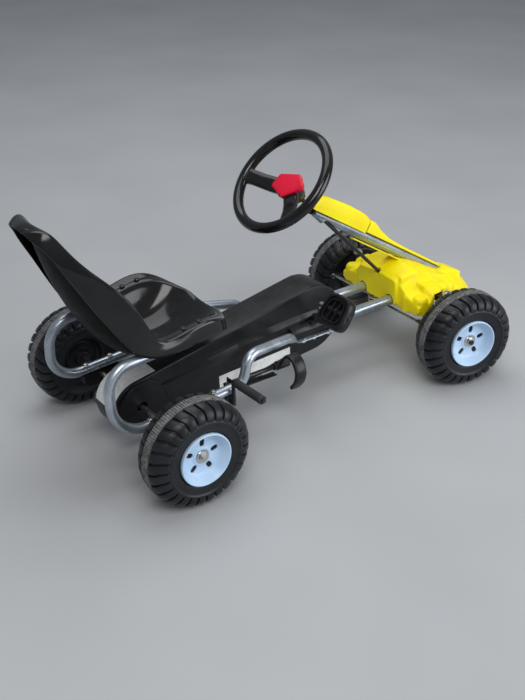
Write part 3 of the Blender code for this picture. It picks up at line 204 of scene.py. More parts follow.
def tread_finish(name):
    """Hard rubber scuffed grey where it has rolled, with pale scratches and grit."""
    n = Nodes(name)
    worn = n.ramp(n.noise(0.01, 6.0), 0.3, 0.75, (0.055, 0.056, 0.058), (0.24, 0.24, 0.235))
    grit = n.ramp(n.noise(0.0022, 2.0), 0.55, 0.75, (0.0, 0.0, 0.0), (1.0, 1.0, 1.0))
    pale = n.ramp(n.noise(0.02, 2.0), 0.2, 0.8, (0.22, 0.22, 0.21), (0.34, 0.34, 0.33))
    n.set(Base_Color=n.mix(grit, worn, pale), Roughness=n.spread(n.noise(0.01), 0.72, 0.92))
    n.bump(n.noise(0.0012), 0.5)
    return n.material


def label_finish():
    """Off-white vinyl, left blank, a little dirty."""
    n = Nodes("label_vinyl")
    n.set(Base_Color=n.ramp(n.noise(0.012, 5.0), 0.3, 0.6, (0.66, 0.67, 0.66), (0.82, 0.83, 0.82)),
          Roughness=n.spread(n.noise(0.02, 2.0), 0.35, 0.5))
    n.bump(n.noise(0.004, 2.0), 0.06, 0.0003)
    return n.material


def rough_black():
    """The unpolished back of a glossy moulding."""
    made = finish_paint("rough_black_plastic", (0.003, 0.003, 0.0032), (0.006, 0.006, 0.006), (0.5, 0.65),
                        0.001, 0.2)
    made.node_tree.nodes["Principled BSDF"].inputs["Specular IOR Level"].default_value = 0.15
    return made


PAINTS = make_paints()
LABEL = label_finish()


# ---- mesh helpers ----
def given(thing, **settings):
    for name, value in settings.items():
        setattr(thing, name, value)
    return thing


def placed(name, data):
    """A new object in the scene."""
    made = bpy.data.objects.new(name, data)
    bpy.context.scene.collection.objects.link(made)
    return made


def new_object(name, bm):
    mesh = bpy.data.meshes.new(name)
    bm.to_mesh(mesh)
    bm.free()
    return placed(name, mesh)


def piece(name, bm, slot, body, stands_for=(), smooth=35.0, paint=None, shift=True):
    """Turns bm into an object that rides on a body, and hides the CAD nodes it stands for."""
    if shift:
        bmesh.ops.translate(bm, verts=bm.verts, vec=(BACK, 0, 0))
    bmesh.ops.recalc_face_normals(bm, faces=bm.faces)
    made = new_object(name, bm)
    made.data.materials.append(paint or PAINTS[slot])
    shade(made, smooth)
    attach(made, body)
    if stands_for:
        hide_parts(*stands_for)
    return made


def shade(obj, angle):
    obj.data.shade_smooth()
    obj.data.set_sharp_from_angle(angle=radians(angle))


def bevel(obj, width, segments=2, angle=35.0):
    given(obj.modifiers.new("Bevel", "BEVEL"), width=width, segments=segments, limit_method="ANGLE",
          angle_limit=radians(angle), harden_normals=True)


def applied(obj):
    """Makes the object's modifiers permanent."""
    bpy.context.view_layer.update()
    graph = bpy.context.evaluated_depsgraph_get()
    mesh = bpy.data.meshes.new_from_object(obj.evaluated_get(graph))
    obj.modifiers.clear()
    obj.data = mesh


def combine(obj, bm, operation, smooth=30.0):
    """Cuts bm from obj, adds it to it, or keeps only what both share."""
    bmesh.ops.recalc_face_normals(bm, faces=bm.faces)
    tool = new_object("tool", bm)
    tool.location.x = BACK
    given(obj.modifiers.new("Boolean", "BOOLEAN"), operation=operation, solver="EXACT", object=tool)
    applied(obj)
    bpy.data.objects.remove(tool)
    shade(obj, smooth)


def circle(count):
    """(cos, sin) at even steps round a circle."""
    turn = [2 * pi * k / count for k in range(count)]
    return [(cos(a), sin(a)) for a in turn]


def rounded_square(count, power):
    """Points round a square of half side 1, whose corners are sharper with a higher power."""
    points = []
    for c, s in circle(count):
        fat = (abs(c) ** power + abs(s) ** power) ** (-1 / power)
        points.append((fat * c, fat * s))
    return points


def eased(share):
    """A share held between 0 and 1, with a soft start and a soft end."""
    share = min(max(share, 0.0), 1.0)
    return share * share * (3 - 2 * share)


def shape(add, *values):
    """A new mesh that holds what one of the add functions makes."""
    bm = bmesh.new()
    add(bm, *values)
    return bm


def add_loft(bm, rings, joined=False):
    """A skin over rings of points, capped at both ends, or joined from the last to the first."""
    rows = [[bm.verts.new(p) for p in ring] for ring in rings]
    for a, b in zip(rows, rows[1:] + (rows[:1] if joined else [])):
        for i in range(len(a)):
            j = (i + 1) % len(a)
            bm.faces.new((a[i], a[j], b[j], b[i]))
    if not joined:
        bm.faces.new(rows[0][::-1])
        bm.faces.new(rows[-1])


def axes_for(direction):
    d = Vector(direction).normalized()
    side = Vector((0, 0, 1)) if abs(d.z) < 0.9 else Vector((1, 0, 0))
    u = side.cross(d).normalized()
    return d, u, d.cross(u)


def add_turned(bm, centre, direction, profile, sides=48):
    """A closed profile of (along, radius) turned round direction; radius 0 closes to a point."""
    d, u, v = axes_for(direction)
    rows = []
    for along, radius in profile:
        base = Vector(centre) + along * d
        turn = circle(sides) if radius > 1e-7 else [(0, 0)]
        rows.append([bm.verts.new(base + radius * (c * u + s * v)) for c, s in turn])
    for a, b in zip(rows, rows[1:] + rows[:1]):
        for i in range(sides if len(a) + len(b) > 2 else 0):
            j = (i + 1) % sides
            face = (a[i], a[j]) if len(a) > 1 else (a[0],)
            bm.faces.new(face + ((b[j], b[i]) if len(b) > 1 else (b[0],)))


def add_rod(bm, start, end, radius, sides=32):
    start, end, edge = Vector(start), Vector(end), 0.0006
    length = (end - start).length
    profile = [(0, 0), (0, radius - edge), (edge, radius), (length - edge, radius), (length, radius - edge),
               (length, 0)]
    add_turned(bm, start, end - start, profile, sides)


def add_prism(bm, outline, y_low, y_high):
    add_loft(bm, [[(x, y, z) for x, z in outline] for y in (y_low, y_high)])


def add_box(bm, low, high):
    (x0, y0, z0), (x1, y1, z1) = low, high
    add_prism(bm, [(x0, z0), (x1, z0), (x1, z1), (x0, z1)], y0, y1)


def arc(cx, cz, radius, start, end, steps):
    angles = [radians(start + (end - start) * i / steps) for i in range(steps + 1)]
    return [(cx + radius * cos(a), cz + radius * sin(a)) for a in angles]


def rounded_path(points, radius, steps=10):
    """The line through points with its corners rounded, where there is room, to that radius."""
    pts = [Vector(p) for p in points]
    out = [pts[0]]
    for before, here, after in zip(pts, pts[1:], pts[2:]):
        a, b = (before - here).normalized(), (after - here).normalized()
        angle = a.angle(b)
        if angle > pi - 0.02:
            out.append(here)
            continue
        cut = radius / tan(angle / 2)
        cut = min(cut, 0.49 * (before - here).length, 0.49 * (after - here).length)
        r = cut * tan(angle / 2)
        centre = here + (a + b).normalized() * (r / sin(angle / 2))
        start, end = here + a * cut - centre, here + b * cut - centre
        sweep = start.angle(end)
        normal = start.cross(end).normalized()
        out += [centre + Matrix.Rotation(sweep * k / steps, 3, normal) @ start for k in range(steps + 1)]
    return out + [pts[-1]]


def resampled(path, step):
    """Points at about even spacing along a path, keeping its first and last."""
    out = [path[0]]
    for a, b in zip(path, path[1:]):
        parts = max(1, round((b - a).length / step))
        out += [a.lerp(b, k / parts) for k in range(1, parts + 1)]
    return out


def directions(path):
    """The way that a path runs at each of its points."""
    ends = zip(path[:1] + path[:-1], path[1:] + path[-1:])
    return [(after - before).normalized() for before, after in ends]


def add_tube(bm, path, radius, sides=32, squeeze=None):
    """A tube along path; squeeze(t) gives its (width, height) shares t along it."""
    path = [Vector(p) for p in path]
    lengths = [0.0]
    for a, b in zip(path, path[1:]):
        lengths.append(lengths[-1] + (b - a).length)
    start = (path[1] - path[0]).normalized()
    side = Vector((1, 0, 0)) if abs(start.y) >= 0.9 else Vector((0, 1, 0))
    rings = []
    for here, along, length in zip(path, directions(path), lengths):
        side = (side - along * side.dot(along)).normalized()
        up = along.cross(side)
        t = length / lengths[-1]
        wide, high = squeeze(t) if squeeze else (1.0, 1.0)
        r = radius(t) if callable(radius) else radius
        rings.append([here + r * wide * c * side + r * high * s * up for c, s in circle(sides)])
    add_loft(bm, rings)


def finished_copy(node, slot, edge=0.0005, smooth=35.0):
    """A copy of a CAD node with flat faces joined, edges rounded and round faces shaded smooth."""
    bm = bmesh.new()
    bm.from_mesh(frame["nodes"][node].data)
    bmesh.ops.remove_doubles(bm, verts=bm.verts, dist=0.00001)
    bmesh.ops.dissolve_limit(bm, angle_limit=radians(0.6), verts=bm.verts, edges=bm.edges)
    made = piece(node + "_finish", bm, slot, BODY_OF[node], (node,), smooth, shift=False)
    if edge:
        bevel(made, edge)
    return made


def bolt_head(name, place, direction, radius, height, washer=True, slot="zinc_steel", body="frame"):
    """A domed hexagon head, with or without a washer."""
    bm = bmesh.new()
    d, u, v = axes_for(direction)
    base = Vector(place)
    if washer:
        wide, thick = radius * 1.3, 0.001
        add_turned(bm, base, d, [(0, 0), (0, wide), (0.0008, wide), (thick, radius * 1.22), (thick, 0)], 32)
        base = base + thick * d
    rings = []
    for out, share in ((0.0, 1.0), (0.72, 1.0), (0.92, 0.9), (1.0, 0.72)):
        r = share * radius
        rings.append([base + out * height * d + r * (c * u + s * v) for c, s in circle(6)])
    add_loft(bm, rings)
    bevel(piece(name, bm, slot, body, smooth=20.0), 0.0004, 2, 20.0)


# ---- frame ----
def leg_z(x):
    return 0.1355 + 0.068 * x


def tube_z(x):
    return HEAD.z + TUBE_SLOPE * (x - HEAD.x)


def tube_dir():
    return Vector((1.0, 0.0, TUBE_SLOPE)).normalized()


def column_dir():
    return Vector((sin(STEER_TILT), 0.0, -cos(STEER_TILT)))


def column_bend():
    """Where the column turns down to its lower crank."""
    d = column_dir()
    return STEER_CENTRE + (PITMAN_X - STEER_CENTRE.x) / d.x * d


def joint_of(body):
    return next(j for j in frame["joints"] if j["child"] == body)


def main_rails():
    low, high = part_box("left_main_rail")
    back, length = low.x - BACK, high.x - low.x
    r, edge, wall = RAIL_R, 0.0004, 0.0022
    profile = [(0, r - wall), (0, r - edge), (edge, r), (length - edge, r), (length, r - edge),
               (length, r - wall)]
    for side, s in SIDES.items():
        bm = shape(add_turned, (back, s * RAIL_Y, RAIL_Z), (1, 0, 0), profile)
        piece(side + "_rail_tube", bm, "silver_paint", "frame", (side + "_main_rail",))


def side_tube_path(s):
    """From the flattened front lug back, down, along the axle, round and up under the seat."""
    lug_z = RAIL_Z - RAIL_R - 0.003
    front = rounded_path([
        (0.53, s * 0.061, lug_z), (0.396, s * 0.0625, lug_z), (0.345, s * 0.106, 0.196),
        (0.208, s * SIDE_Y, 0.213), (0.195, s * SIDE_Y, leg_z(0.195)),
        (0.06, s * SIDE_Y, leg_z(0.06))], 0.03, 12)
    back = rounded_path([
        (0.06, s * SIDE_Y, leg_z(0.06)), (-0.1165, s * SIDE_Y, leg_z(-0.1165)),
        (-0.1165, s * UPPER_Y, 0.275), (-0.01, s * UPPER_Y, 0.281)], 0.07, 18)
    lug = [Vector((x, s * UPPER_Y, z)) for x, z in mm([(10, 282), (45, 286), (80, 296), (115, 300.5)])]
    return resampled(front[:-1] + back + lug, 0.012)


def side_tubes():
    def flat_ends(t):
        share = eased(min(t - 0.145, 0.925 - t) / 0.05)
        return 0.85 + 0.15 * share, 0.24 + 0.76 * share
    under = RAIL_Z - RAIL_R - 0.0059
    for side, s in SIDES.items():
        bm = shape(add_tube, side_tube_path(s), SIDE_R, 32, flat_ends)
        piece(side + "_side_tube_bent", bm, "silver_paint", "frame", (side + "_side_tube",))
        for k, x in enumerate((0.419, 0.449, 0.492)):
            bolt_head(f"{side}_lug_nut_{k}", (x, s * 0.0615, under), (0, 0, -1), 0.0055, 0.0045)
            bolt_head(f"{side}_lug_bolt_{k}", (x, s * 0.0668, under + 0.0052), (0, s * 0.2, 1),
                      0.0042, 0.0024, False)
        for k, x in enumerate((-0.034, 0.027, 0.118)):
            bolt_head(f"{side}_leg_bolt_{k}", (x, s * SIDE_Y, leg_z(x) + SIDE_R - 0.0008), (0, 0, 1),
                      0.0055, 0.004)


def support_tube():
    back = HEAD - 0.02 * tube_dir()
    front = Vector((TUBE_FRONT_X, 0.0, tube_z(TUBE_FRONT_X)))
    whole = (front - back).length

    def flat_head(t):
        share = eased((t * whole - 0.05) / 0.045)
        return 1.3 - 0.3 * share, 0.5 + 0.5 * share
    bm = shape(add_tube, resampled([back, front], 0.008), TUBE_R, 40, flat_head)
    tube = piece("support_tube", bm, "silver_paint", "frame", ("column_support_tube",))
    half = 0.021 * column_dir()
    combine(tube, shape(add_rod, HEAD - half, HEAD + half, 0.0115), "UNION")
    combine(tube, shape(add_rod, HEAD - 2 * half, HEAD + 4.5 * half, 0.0088), "DIFFERENCE")


# ---- wheels ----
def wheel_axes(corner, s):
    """A wheel's centre, its outward axle direction and two directions across it."""
    out = Vector(joint_of(BODY_OF[corner + "_wheel"])["axis"]).normalized()
    out = out if out.y * s > 0 else -out
    up = Vector((0, 0, 1))
    return middle(corner + "_tread_band"), out, out.cross(up).normalized(), up


def around(axes, along, radius, angle):
    """A point so far along a wheel's axle and so far out from it."""
    centre, out, u, v = axes
    return centre + along * out + radius * (cos(angle) * u + sin(angle) * v)


def shoulder():
    """One side's shoulder as (out, radius, depth of the gaps between the lobes), from the tread down."""
    return mm([
        (11.2, 112, 0), (12.8, 112.4, 0), (13.4, 114, 5), (18.5, 113.6, 5), (24, 112.4, 5), (30, 110, 5),
        (35, 106.5, 5), (39.5, 101.8, 5), (42.5, 97, 5), (44.3, 92, 5), (45, 88, 4.5), (45.2, 85.5, 2),
        (45.2, 83.8, 0), (45.4, 82.9, 0), (46, 81.9, 0), (46, 80.9, 0), (45.1, 79.7, 0), (44.1, 78.4, 0)])


def tyre_section():
    """The whole moulded wheel: outer face, shoulders, and the ringed recess on the inner face."""
    outer = mm([
        (43.7, 74.5), (43, 69.5), (42.4, 64.8), (42, 61.8), (41, 60), (39.2, 58.9), (36.2, 56.2),
        (23.2, 41.2), (23.2, 6.2)])
    inner = mm([
        (-35, 6.2), (-35, 16), (-33.8, 17.2), (-19, 20), (-18, 21.5), (-18, 33), (-19.5, 34.5), (-19.5, 36.5),
        (-18, 38), (-19, 41), (-26, 45), (-33, 48), (-35, 52), (-36.2, 53.5), (-36.2, 56), (-38, 60),
        (-42, 66), (-43.6, 72)])
    mirrored = [(-out, r, deep) for out, r, deep in reversed(shoulder())]
    return shoulder() + [(out, r, 0) for out, r in outer + inner] + mirrored


def tyre(corner, axes):
    """A row of raised lobes round each shoulder, hooked forward near the tread."""
    section = tyre_section()
    gap = 0.28                      # share of a lobe's pitch that the groove takes
    steps = ((0.0, 0), (0.06, 1), (0.2, 1), (gap, 0), (0.36, -1), (0.5, -1), (0.72, -1), (0.9, -1))
    rows = []
    for i, (along, radius, deep) in enumerate(section):
        before, after = section[i - 1], section[(i + 1) % len(section)]
        normal = Vector((after[1] - before[1], before[0] - after[0])).normalized()
        hook = 0.35 * max(0.0, (radius - 0.1) / 0.014) ** 2 if deep else 0.0
        row = []
        for k in range(LOBES):
            for part, level in steps:
                crown = 0.0008 * sin(pi * min(max((part - gap) / (1 - gap), 0.0), 1.0))
                move = -deep if level > 0 else crown * deep / GROOVE
                row.append(around(axes, along - normal.x * move, radius - normal.y * move,
                                  2 * pi * (k + part - hook) / LOBES))
        rows.append(row)
    piece(corner + "_tyre", shape(add_loft, rows, True), "wheel_plastic", BODY_OF[corner + "_wheel"],
          (corner + "_wheel",), 50.0, shift=False)


def tread_ring(corner, axes):
    """The rolling band, with fine ribs across it."""
    ribs, rib_deep = 132, 0.0018
    half = [(-0.011, 0.112, 0), (-0.011, 0.1145, 1), (-0.0098, 0.1155, 1)]
    rows = []
    for along, radius, worn in half + [(-x, r, worn) for x, r, worn in reversed(half)]:
        rows.append([around(axes, along, radius - rib_deep * low * worn, 2 * pi * (k + part) / ribs)
                     for k in range(ribs) for part, low in ((0.0, 0), (0.5, 0), (0.6, 1), (0.9, 1))])
    piece(corner + "_tread", shape(add_loft, rows, True), "tread_rubber", BODY_OF[corner + "_wheel"],
          (corner + "_tread_band",), 40.0, shift=False)


def hub(corner, axes):
    """Dished disc with a rolled rim, five slots and a raised middle."""
    profile = mm([
        (24, 7.5), (24, 40.5), (37, 55.5), (40, 57.6), (45.8, 57.5), (47, 56.8), (47.4, 55.7),
        (47.2, 54.5), (46.2, 53.6), (43.5, 52), (38, 48.2), (32.5, 44.6), (28.8, 41.8), (27.2, 39.2),
        (26.6, 35.5), (26.6, 30), (26.8, 22.5), (27.4, 20.5), (28.8, 19.6), (29.2, 18.6), (29.2, 16),
        (28.4, 15), (28.4, 7.5)])
    washer = mm([(29.3, 6.8), (29.3, 14.2), (30.4, 14.8), (31.8, 13.8), (31.8, 6.8)])
    centre, out, u, v = axes
    centre = centre - Vector((BACK, 0, 0))
    body = BODY_OF[corner + "_wheel"]
    disc = piece(corner + "_disc", shape(add_turned, centre, out, profile, 96), "hub_plastic", body,
                 (corner + "_hub_disc",), 40.0)
    slots = bmesh.new()
    for k in range(5):
        a = 2 * pi * (k + 0.3) / 5
        radial = cos(a) * u + sin(a) * v
        across = out.cross(radial)
        ring = [centre + (0.0305 + 0.0084 * q) * radial + 0.0056 * c * across
                for c, q in rounded_square(20, 3)]
        add_loft(slots, [[p + along * out for p in ring] for along in (0.015, 0.06)])
    combine(disc, slots, "DIFFERENCE", 40.0)
    piece(corner + "_washer", shape(add_turned, centre, out, washer, 40), "zinc_steel", body)


def wheels():
    for corner, s in CORNERS.items():
        axes = wheel_axes(corner, s)
        tyre(corner, axes)
        tread_ring(corner, axes)
        hub(corner, axes)
        finished_copy(corner + "_axle_nut", "zinc_steel", 0.0006)


# ---- chain case ----
CASE_BACK = (0.0, WHEEL_R - 0.004, 0.065)
CASE_FRONT = (CRANK_X, 0.18, 0.083)
CASE_WALL = 0.0025


def belt(back, front, grow, steps):
    """Outline round a back circle and a front circle, each (x, z, radius)."""
    (ax, az, ra), (bx, bz, rb) = back, front
    line = atan2(bz - az, bx - ax)
    lean = asin((rb - ra) / hypot(bx - ax, bz - az))
    top = degrees(line + pi / 2 + lean)
    bottom = degrees(line - pi / 2 - lean)
    return arc(bx, bz, rb + grow, bottom, top, steps) + arc(ax, az, ra + grow, top, bottom + 360.0, steps)


def case_loft(grow, rows):
    outlines = [(y, belt(CASE_BACK, CASE_FRONT, grow - inset, 40)) for y, inset in rows]
    return shape(add_loft, [[(x, y, z) for x, z in outline] for y, outline in outlines])


def mirrored_rows(rows):
    """Rows of (y, inset) in millimetres for y below 0, followed by their mirror image."""
    return mm(rows + [(-y, inset) for y, inset in reversed(rows)])


LEDGE = mm([(-80, 129, 130), (0, 141.5, 144), (95.7, 154.7, 160), (170, 165, 172.5),
         (246, 175.6, 185), (324, 183, 197.5), (404, 190.5, 203.8), (473, 196.5, 204.3),
         (580, 206, 207)])     # x, then the sloped ledge's low and high edge


def case_upper():
    """The upper half: a flat-sided shell, with a step along each side below the sloped ledge."""
    rows = mirrored_rows([(-41.5, 4.5), (-40.8, 2.2), (-38.5, 0.6), (-36, 0)])
    top = piece("case_upper_shell", case_loft(0.0, rows), "satin_black_plastic", "frame",
                ("chain_case_upper",))
    rows = mirrored_rows([(-47.2, 3), (-46.4, 1), (-44, 0)])
    side = piece("case_side", case_loft(0.0, rows), "satin_black_plastic", "frame")
    rings = []
    for x, low, high in LEDGE:
        half = [(0.06, -0.1), (0.06, low - 0.012), (0.0472, low), (0.0412, high)]
        ring = [(-0.06, -0.1)] + half + [(0.0, high)] + [(-y, z) for y, z in reversed(half[1:])]
        rings.append([(x, y, z) for y, z in ring])
    combine(side, shape(add_loft, rings), "INTERSECT")
    tool = bmesh.new()
    tool.from_mesh(side.data)
    bmesh.ops.translate(tool, verts=tool.verts, vec=(-BACK, 0, 0))
    bpy.data.objects.remove(side)
    combine(top, tool, "UNION")
    disc = mm([(0, 0), (0, 60), (8.5, 60), (9.2, 59.2), (9.2, 57), (8, 56), (8, 0)])
    bm = bmesh.new()
    for s in SIDES.values():
        add_turned(bm, (0.006, s * 0.04, WHEEL_R - 0.002), (0, s, 0), disc, 72)
    combine(top, bm, "UNION")
    pocket = mm([(396, 90), (400, 170), (418, 186), (490, 193), (530, 193), (530, 90)])
    mid_x, mid_z = 0.46, 0.14
    floor = [(mid_x + (x - mid_x) * 0.94, mid_z + (z - mid_z) * 0.93) for x, z in pocket]
    for s in SIDES.values():
        rings = ((0.042, floor), (0.0475, pocket), (0.06, pocket))
        combine(top, shape(add_loft, [[(x, s * y, z) for x, z in row] for y, row in rings]), "DIFFERENCE")
    combine(top, case_loft(-CASE_WALL, mirrored_rows([(-38.5, 4), (-35, 0)])), "DIFFERENCE")
    cut_case(top, True)
    bevel(top, 0.0008, 2, 28.0)


def rail_sockets():
    """Moulded housings on the case's sides that hold the rear ends of the rails."""
    r = RAIL_R + 0.0024
    y_in, foot = 0.04, RAIL_Z - RAIL_R + 0.0012
    for side, s in SIDES.items():
        rings = []
        for x, grow in ((0.386, -0.006), (0.388, -0.001), (0.392, 0.0), (0.496, 0.0), (0.499, -0.0012)):
            out, top = RAIL_Y + r + grow, RAIL_Z + r + grow
            ring = [(y_in, foot), (out - 0.003, foot), (out, foot + 0.0038), (out, RAIL_Z + 0.004),
                    (out - 0.005, top - 0.002), (out - 0.011, top), (y_in, top + 0.003)]
            rings.append([(x, s * y, z) for y, z in ring])
        made = piece(side + "_rail_socket", shape(add_loft, rings), "satin_black_plastic", "frame",
                     smooth=40.0)
        bevel(made, 0.0012, 3, 25.0)


def case_lower():
    rows = mirrored_rows([(-40, 6), (-39.2, 3), (-37, 1), (-34, 0)])
    low = piece("case_lower_shell", case_loft(0.0, rows), "satin_black_plastic", "frame",
                ("chain_case_lower",))
    combine(low, case_loft(-CASE_WALL, mirrored_rows([(-37.5, 4), (-33, 0)])), "DIFFERENCE")
    cut_case(low, False)
    bevel(low, 0.0006, 2, 28.0)


def cut_case(shell, upper):
    """The split between the halves, and the ways through for the axle, crank and rails."""
    back_z, front_z, gap = WHEEL_R - 0.004, 0.148, 0.0006
    slope = (front_z - back_z) / CRANK_X
    x0, x1 = -0.2, 0.7
    z0, z1 = back_z + slope * x0, back_z + slope * x1
    if upper:
        waste = [(x0, -0.2), (x1, -0.2), (x1, z1), (x0, z0)]
    else:
        waste = [(x0, z0 - gap), (x1, z1 - gap), (x1, 0.6), (x0, 0.6)]
    combine(shell, shape(add_prism, waste, -0.2, 0.2), "DIFFERENCE")
    bm = bmesh.new()
    add_rod(bm, (0, -0.2, WHEEL_R), (0, 0.2, WHEEL_R), 0.012, 40)
    add_rod(bm, (CRANK_X, -0.2, CRANK_Z), (CRANK_X, 0.2, CRANK_Z), 0.015, 40)
    for s in SIDES.values():
        add_rod(bm, (0.3, s * RAIL_Y, RAIL_Z), (0.6, s * RAIL_Y, RAIL_Z), RAIL_R + 0.0012, 40)
    combine(shell, bm, "DIFFERENCE")


def case_labels():
    """Blank labels: one on each side of the lower half, and one over the rear of the upper half."""
    thick = 0.0004
    outline = ((0.201, 0.076), (0.396, 0.111), (0.396, 0.129), (0.199, 0.118))
    for side, s in SIDES.items():
        rings = [[(x, s * y, z) for x, z in outline] for y in (0.0405, 0.0405 + thick)]
        piece(side + "_case_label", shape(add_loft, rings), None, "frame", smooth=20.0, paint=LABEL)
    x, z, r = CASE_BACK
    path = arc(x, z, r + 0.0005, 172.0, 101.0, 16)
    lean, (end_x, end_z), half = radians(10.6), path[-1], 0.037
    path += [(end_x + 0.018 * k * cos(lean), end_z + 0.018 * k * sin(lean)) for k in (1, 2, 3)]
    rings = []
    for px, pz in path:
        rings.append([(px, y, pz + up) for y, up in ((-half, 0), (half, 0), (half, thick), (-half, thick))])
    piece("rear_case_label", shape(add_loft, rings), None, "frame", smooth=40.0, paint=LABEL)


# ---- seat ----
SEAT_ROWS = [
    # millimetres: middle (x, z), crest (x, y, z), outer edge (x, y, z), then the flatness of the
    # middle and the drop of the shelf in millimetres
    (-215, 557, -213.5, 25, 554.5, -208.5, 44, 547.5, 1.5, 0),
    (-196, 564, -192, 46, 562, -204, 56, 540, 1.5, 0),
    (-180, 562, -174, 60, 559, -198, 66, 534, 1.7, 0),
    (-179, 540, -160, 72, 538, -189, 76, 522, 2.2, 0),
    (-173, 518, -146, 86, 514, -179, 86, 502, 2.4, 0),
    (-164, 483, -122, 105, 483, -165, 92, 475, 2.5, 0),
    (-152, 445, -86, 127, 448, -148, 96, 444, 2.6, 0),
    (-136, 405, -58, 139, 415, -128, 107, 406, 2.8, 0),
    (-114, 358, -38, 143, 378, -106, 122, 369, 3.0, 2),
    (-88, 312, -22, 143, 344, -85, 138, 334, 3.2, 4),
    (-55, 270, -8, 141, 318, -60, 148, 302, 3.5, 7),
    (-18, 246, 12, 140, 308, -24, 151, 280, 3.8, 11),
    (25, 235, 45, 141, 315, 32, 152, 280, 4.0, 14),
    (75, 233, 82, 143, 326, 80, 152, 286, 4.0, 15),
    (115, 246, 118, 141, 327, 122, 148, 290, 3.8, 14),
    (143, 262, 147, 134, 317, 154, 141, 288, 3.4, 9),
    (164, 276, 166, 114, 306, 172, 120, 284, 3.0, 4),
    (180, 285, 179, 86, 299, 185, 91, 279, 2.6, 0),
    (189, 290, 188, 62, 296, 193, 66, 275, 2.2, 0),
    (194.5, 285, 194, 58, 290, 196.5, 64, 272, 2.2, 0),
    (196.5, 278, 196.2, 56, 281.5, 197.5, 62, 270, 2.2, 0),
    (196.8, 270, 196.4, 55, 272, 197.5, 60, 269, 2.2, 0),
]


def seat_section(row):
    """One cross row: dished middle, a wall, a low shelf, a raised lip and the rolled skirt."""
    *lengths, flat, drop = row
    mx, mz, cx, cy, cz, ex, ey, ez, drop = mm(lengths + [drop])
    centre, crest, edge = Vector((mx, 0, mz)), Vector((cx, cy, cz)), Vector((ex, ey, ez))
    outward = (crest - centre).normalized()
    shelf = crest - drop * outward
    half = []
    for u in (0.0, 0.14, 0.28, 0.42, 0.54, 0.64, 0.72, 0.78, 0.84, 0.91):
        point = centre.lerp(shelf, min(1.0, u / 0.8) ** flat)
        point.y = cy * u * 0.985
        half.append(point)
    for u, share in ((0.955, 0.55), (0.985, 0.95)):
        point = shelf.lerp(crest, share)
        point.y = cy * u
        half.append(point)
    for share, swell, lift in ((0.06, 0.003, 0.0022), (0.2, 0.0045, 0), (0.55, 0.004, 0), (1.0, 0.0005, 0)):
        half.append(crest.lerp(edge, share) + Vector((0, swell, 0)) + lift * outward)
    mirrored = [Vector((p.x, -p.y, p.z)) for p in reversed(half[1:])]
    return mirrored + half


def seat():
    bm = bmesh.new()
    verts = [[bm.verts.new(p) for p in seat_section(row)] for row in SEAT_ROWS]
    for low, high in zip(verts, verts[1:]):
        for i in range(len(low) - 1):
            bm.faces.new((low[i], low[i + 1], high[i + 1], high[i]))
    shell = piece("seat", bm, "gloss_black_plastic", "frame", ("seat_shell",), 60.0)
    if shell.data.polygons[len(shell.data.polygons) // 2].normal.z < 0:
        shell.data.flip_normals()
    shell.data.materials.append(rough_black())
    given(shell.modifiers.new("Solidify", "SOLIDIFY"), thickness=0.004, offset=-1.0, material_offset=1)
    given(shell.modifiers.new("Subdivision", "SUBSURF"), levels=2, render_levels=2)
    for side in SIDES:
        for which in ("back", "front"):
            finished_copy(f"{side}_{which}_seat_bolt", "black_paint", 0.0004)


# ---- nose and covers ----
NOSE_ROWS = mm([
    # x, bottom, (y, z) of side top, pod's inner edge, block's foot and block's shoulder, middle's z
    (692, 155, 69, 172, 67.5, 196, 66.5, 210, 64, 220, 226),
    (701, 154, 70, 174, 69, 198, 67.5, 214, 65, 224, 230),
    (704, 152, 139, 173, 96, 188, 72, 212, 66, 226, 232),
    (738, 153, 142, 179, 96, 196, 74, 218, 68, 238, 247),
    (750, 154, 140.5, 195, 93, 212, 76, 227, 58, 240, 248),
    (778, 150, 135.5, 201, 90, 211, 70, 220, 48, 230, 240),
    (804, 144, 120, 192, 84, 204, 62, 213, 40, 221, 228),
    (840, 133, 96, 172, 72, 186, 52, 195, 32, 203, 208),
    (875, 121, 81, 154, 63, 169, 45, 179, 28, 186, 189),
    (910, 109, 73, 140, 58, 155, 40, 168, 24, 179, 184),
    (945, 99, 60, 122, 52, 136, 36, 148, 20, 158, 164),
    (974, 92, 47, 108, 39, 120, 29, 130, 16, 138, 142),
    (994, 88, 30, 98, 25, 106, 19, 113, 11, 118, 120),
    (1004, 88, 15, 93, 12, 98, 9, 102, 6, 104, 105),
])


def nose_ring(row, wall, drop):
    """One closed section of the nose; wall insets it and drop pulls its underside down."""
    x, low, side, side_z = row[:4]
    shrink = (side - wall) / side
    outline = [(side - 0.01, low - drop), (side, low + 0.008 - drop), (side, side_z - wall)]
    outline += [(row[k], row[k + 1] - wall) for k in (4, 6, 8)]
    outline = [(y * shrink, z) for y, z in outline]
    mirrored = [(-y, z) for y, z in reversed(outline)]
    return [(x, y, z) for y, z in outline + [(0.0, row[10] - wall)] + mirrored]


BOSSES = mm([
    # x, y, foot, then (height, radius) up to the closed top
    (723, 123, 150, (0, 18.5), (35, 18), (42, 14), (44, 0)),
    (714, 90, 148, (0, 15), (37, 14.5), (43, 11), (45, 0)),
    (812, 102, 150, (0, 19), (40, 18), (47, 14), (49, 0)),
    (870, 66, 120, (0, 19), (44, 17.5), (51, 13), (53, 0)),
])
BLOCKS = mm([
    # x, y and z from and to, then how much higher the back edge is
    ((742, 786), (74, 112), (170, 208), 6),
    ((704, 762), (48, 74), (190, 237), -6),
    ((815, 880), (30, 62), (150, 186), 18),
])


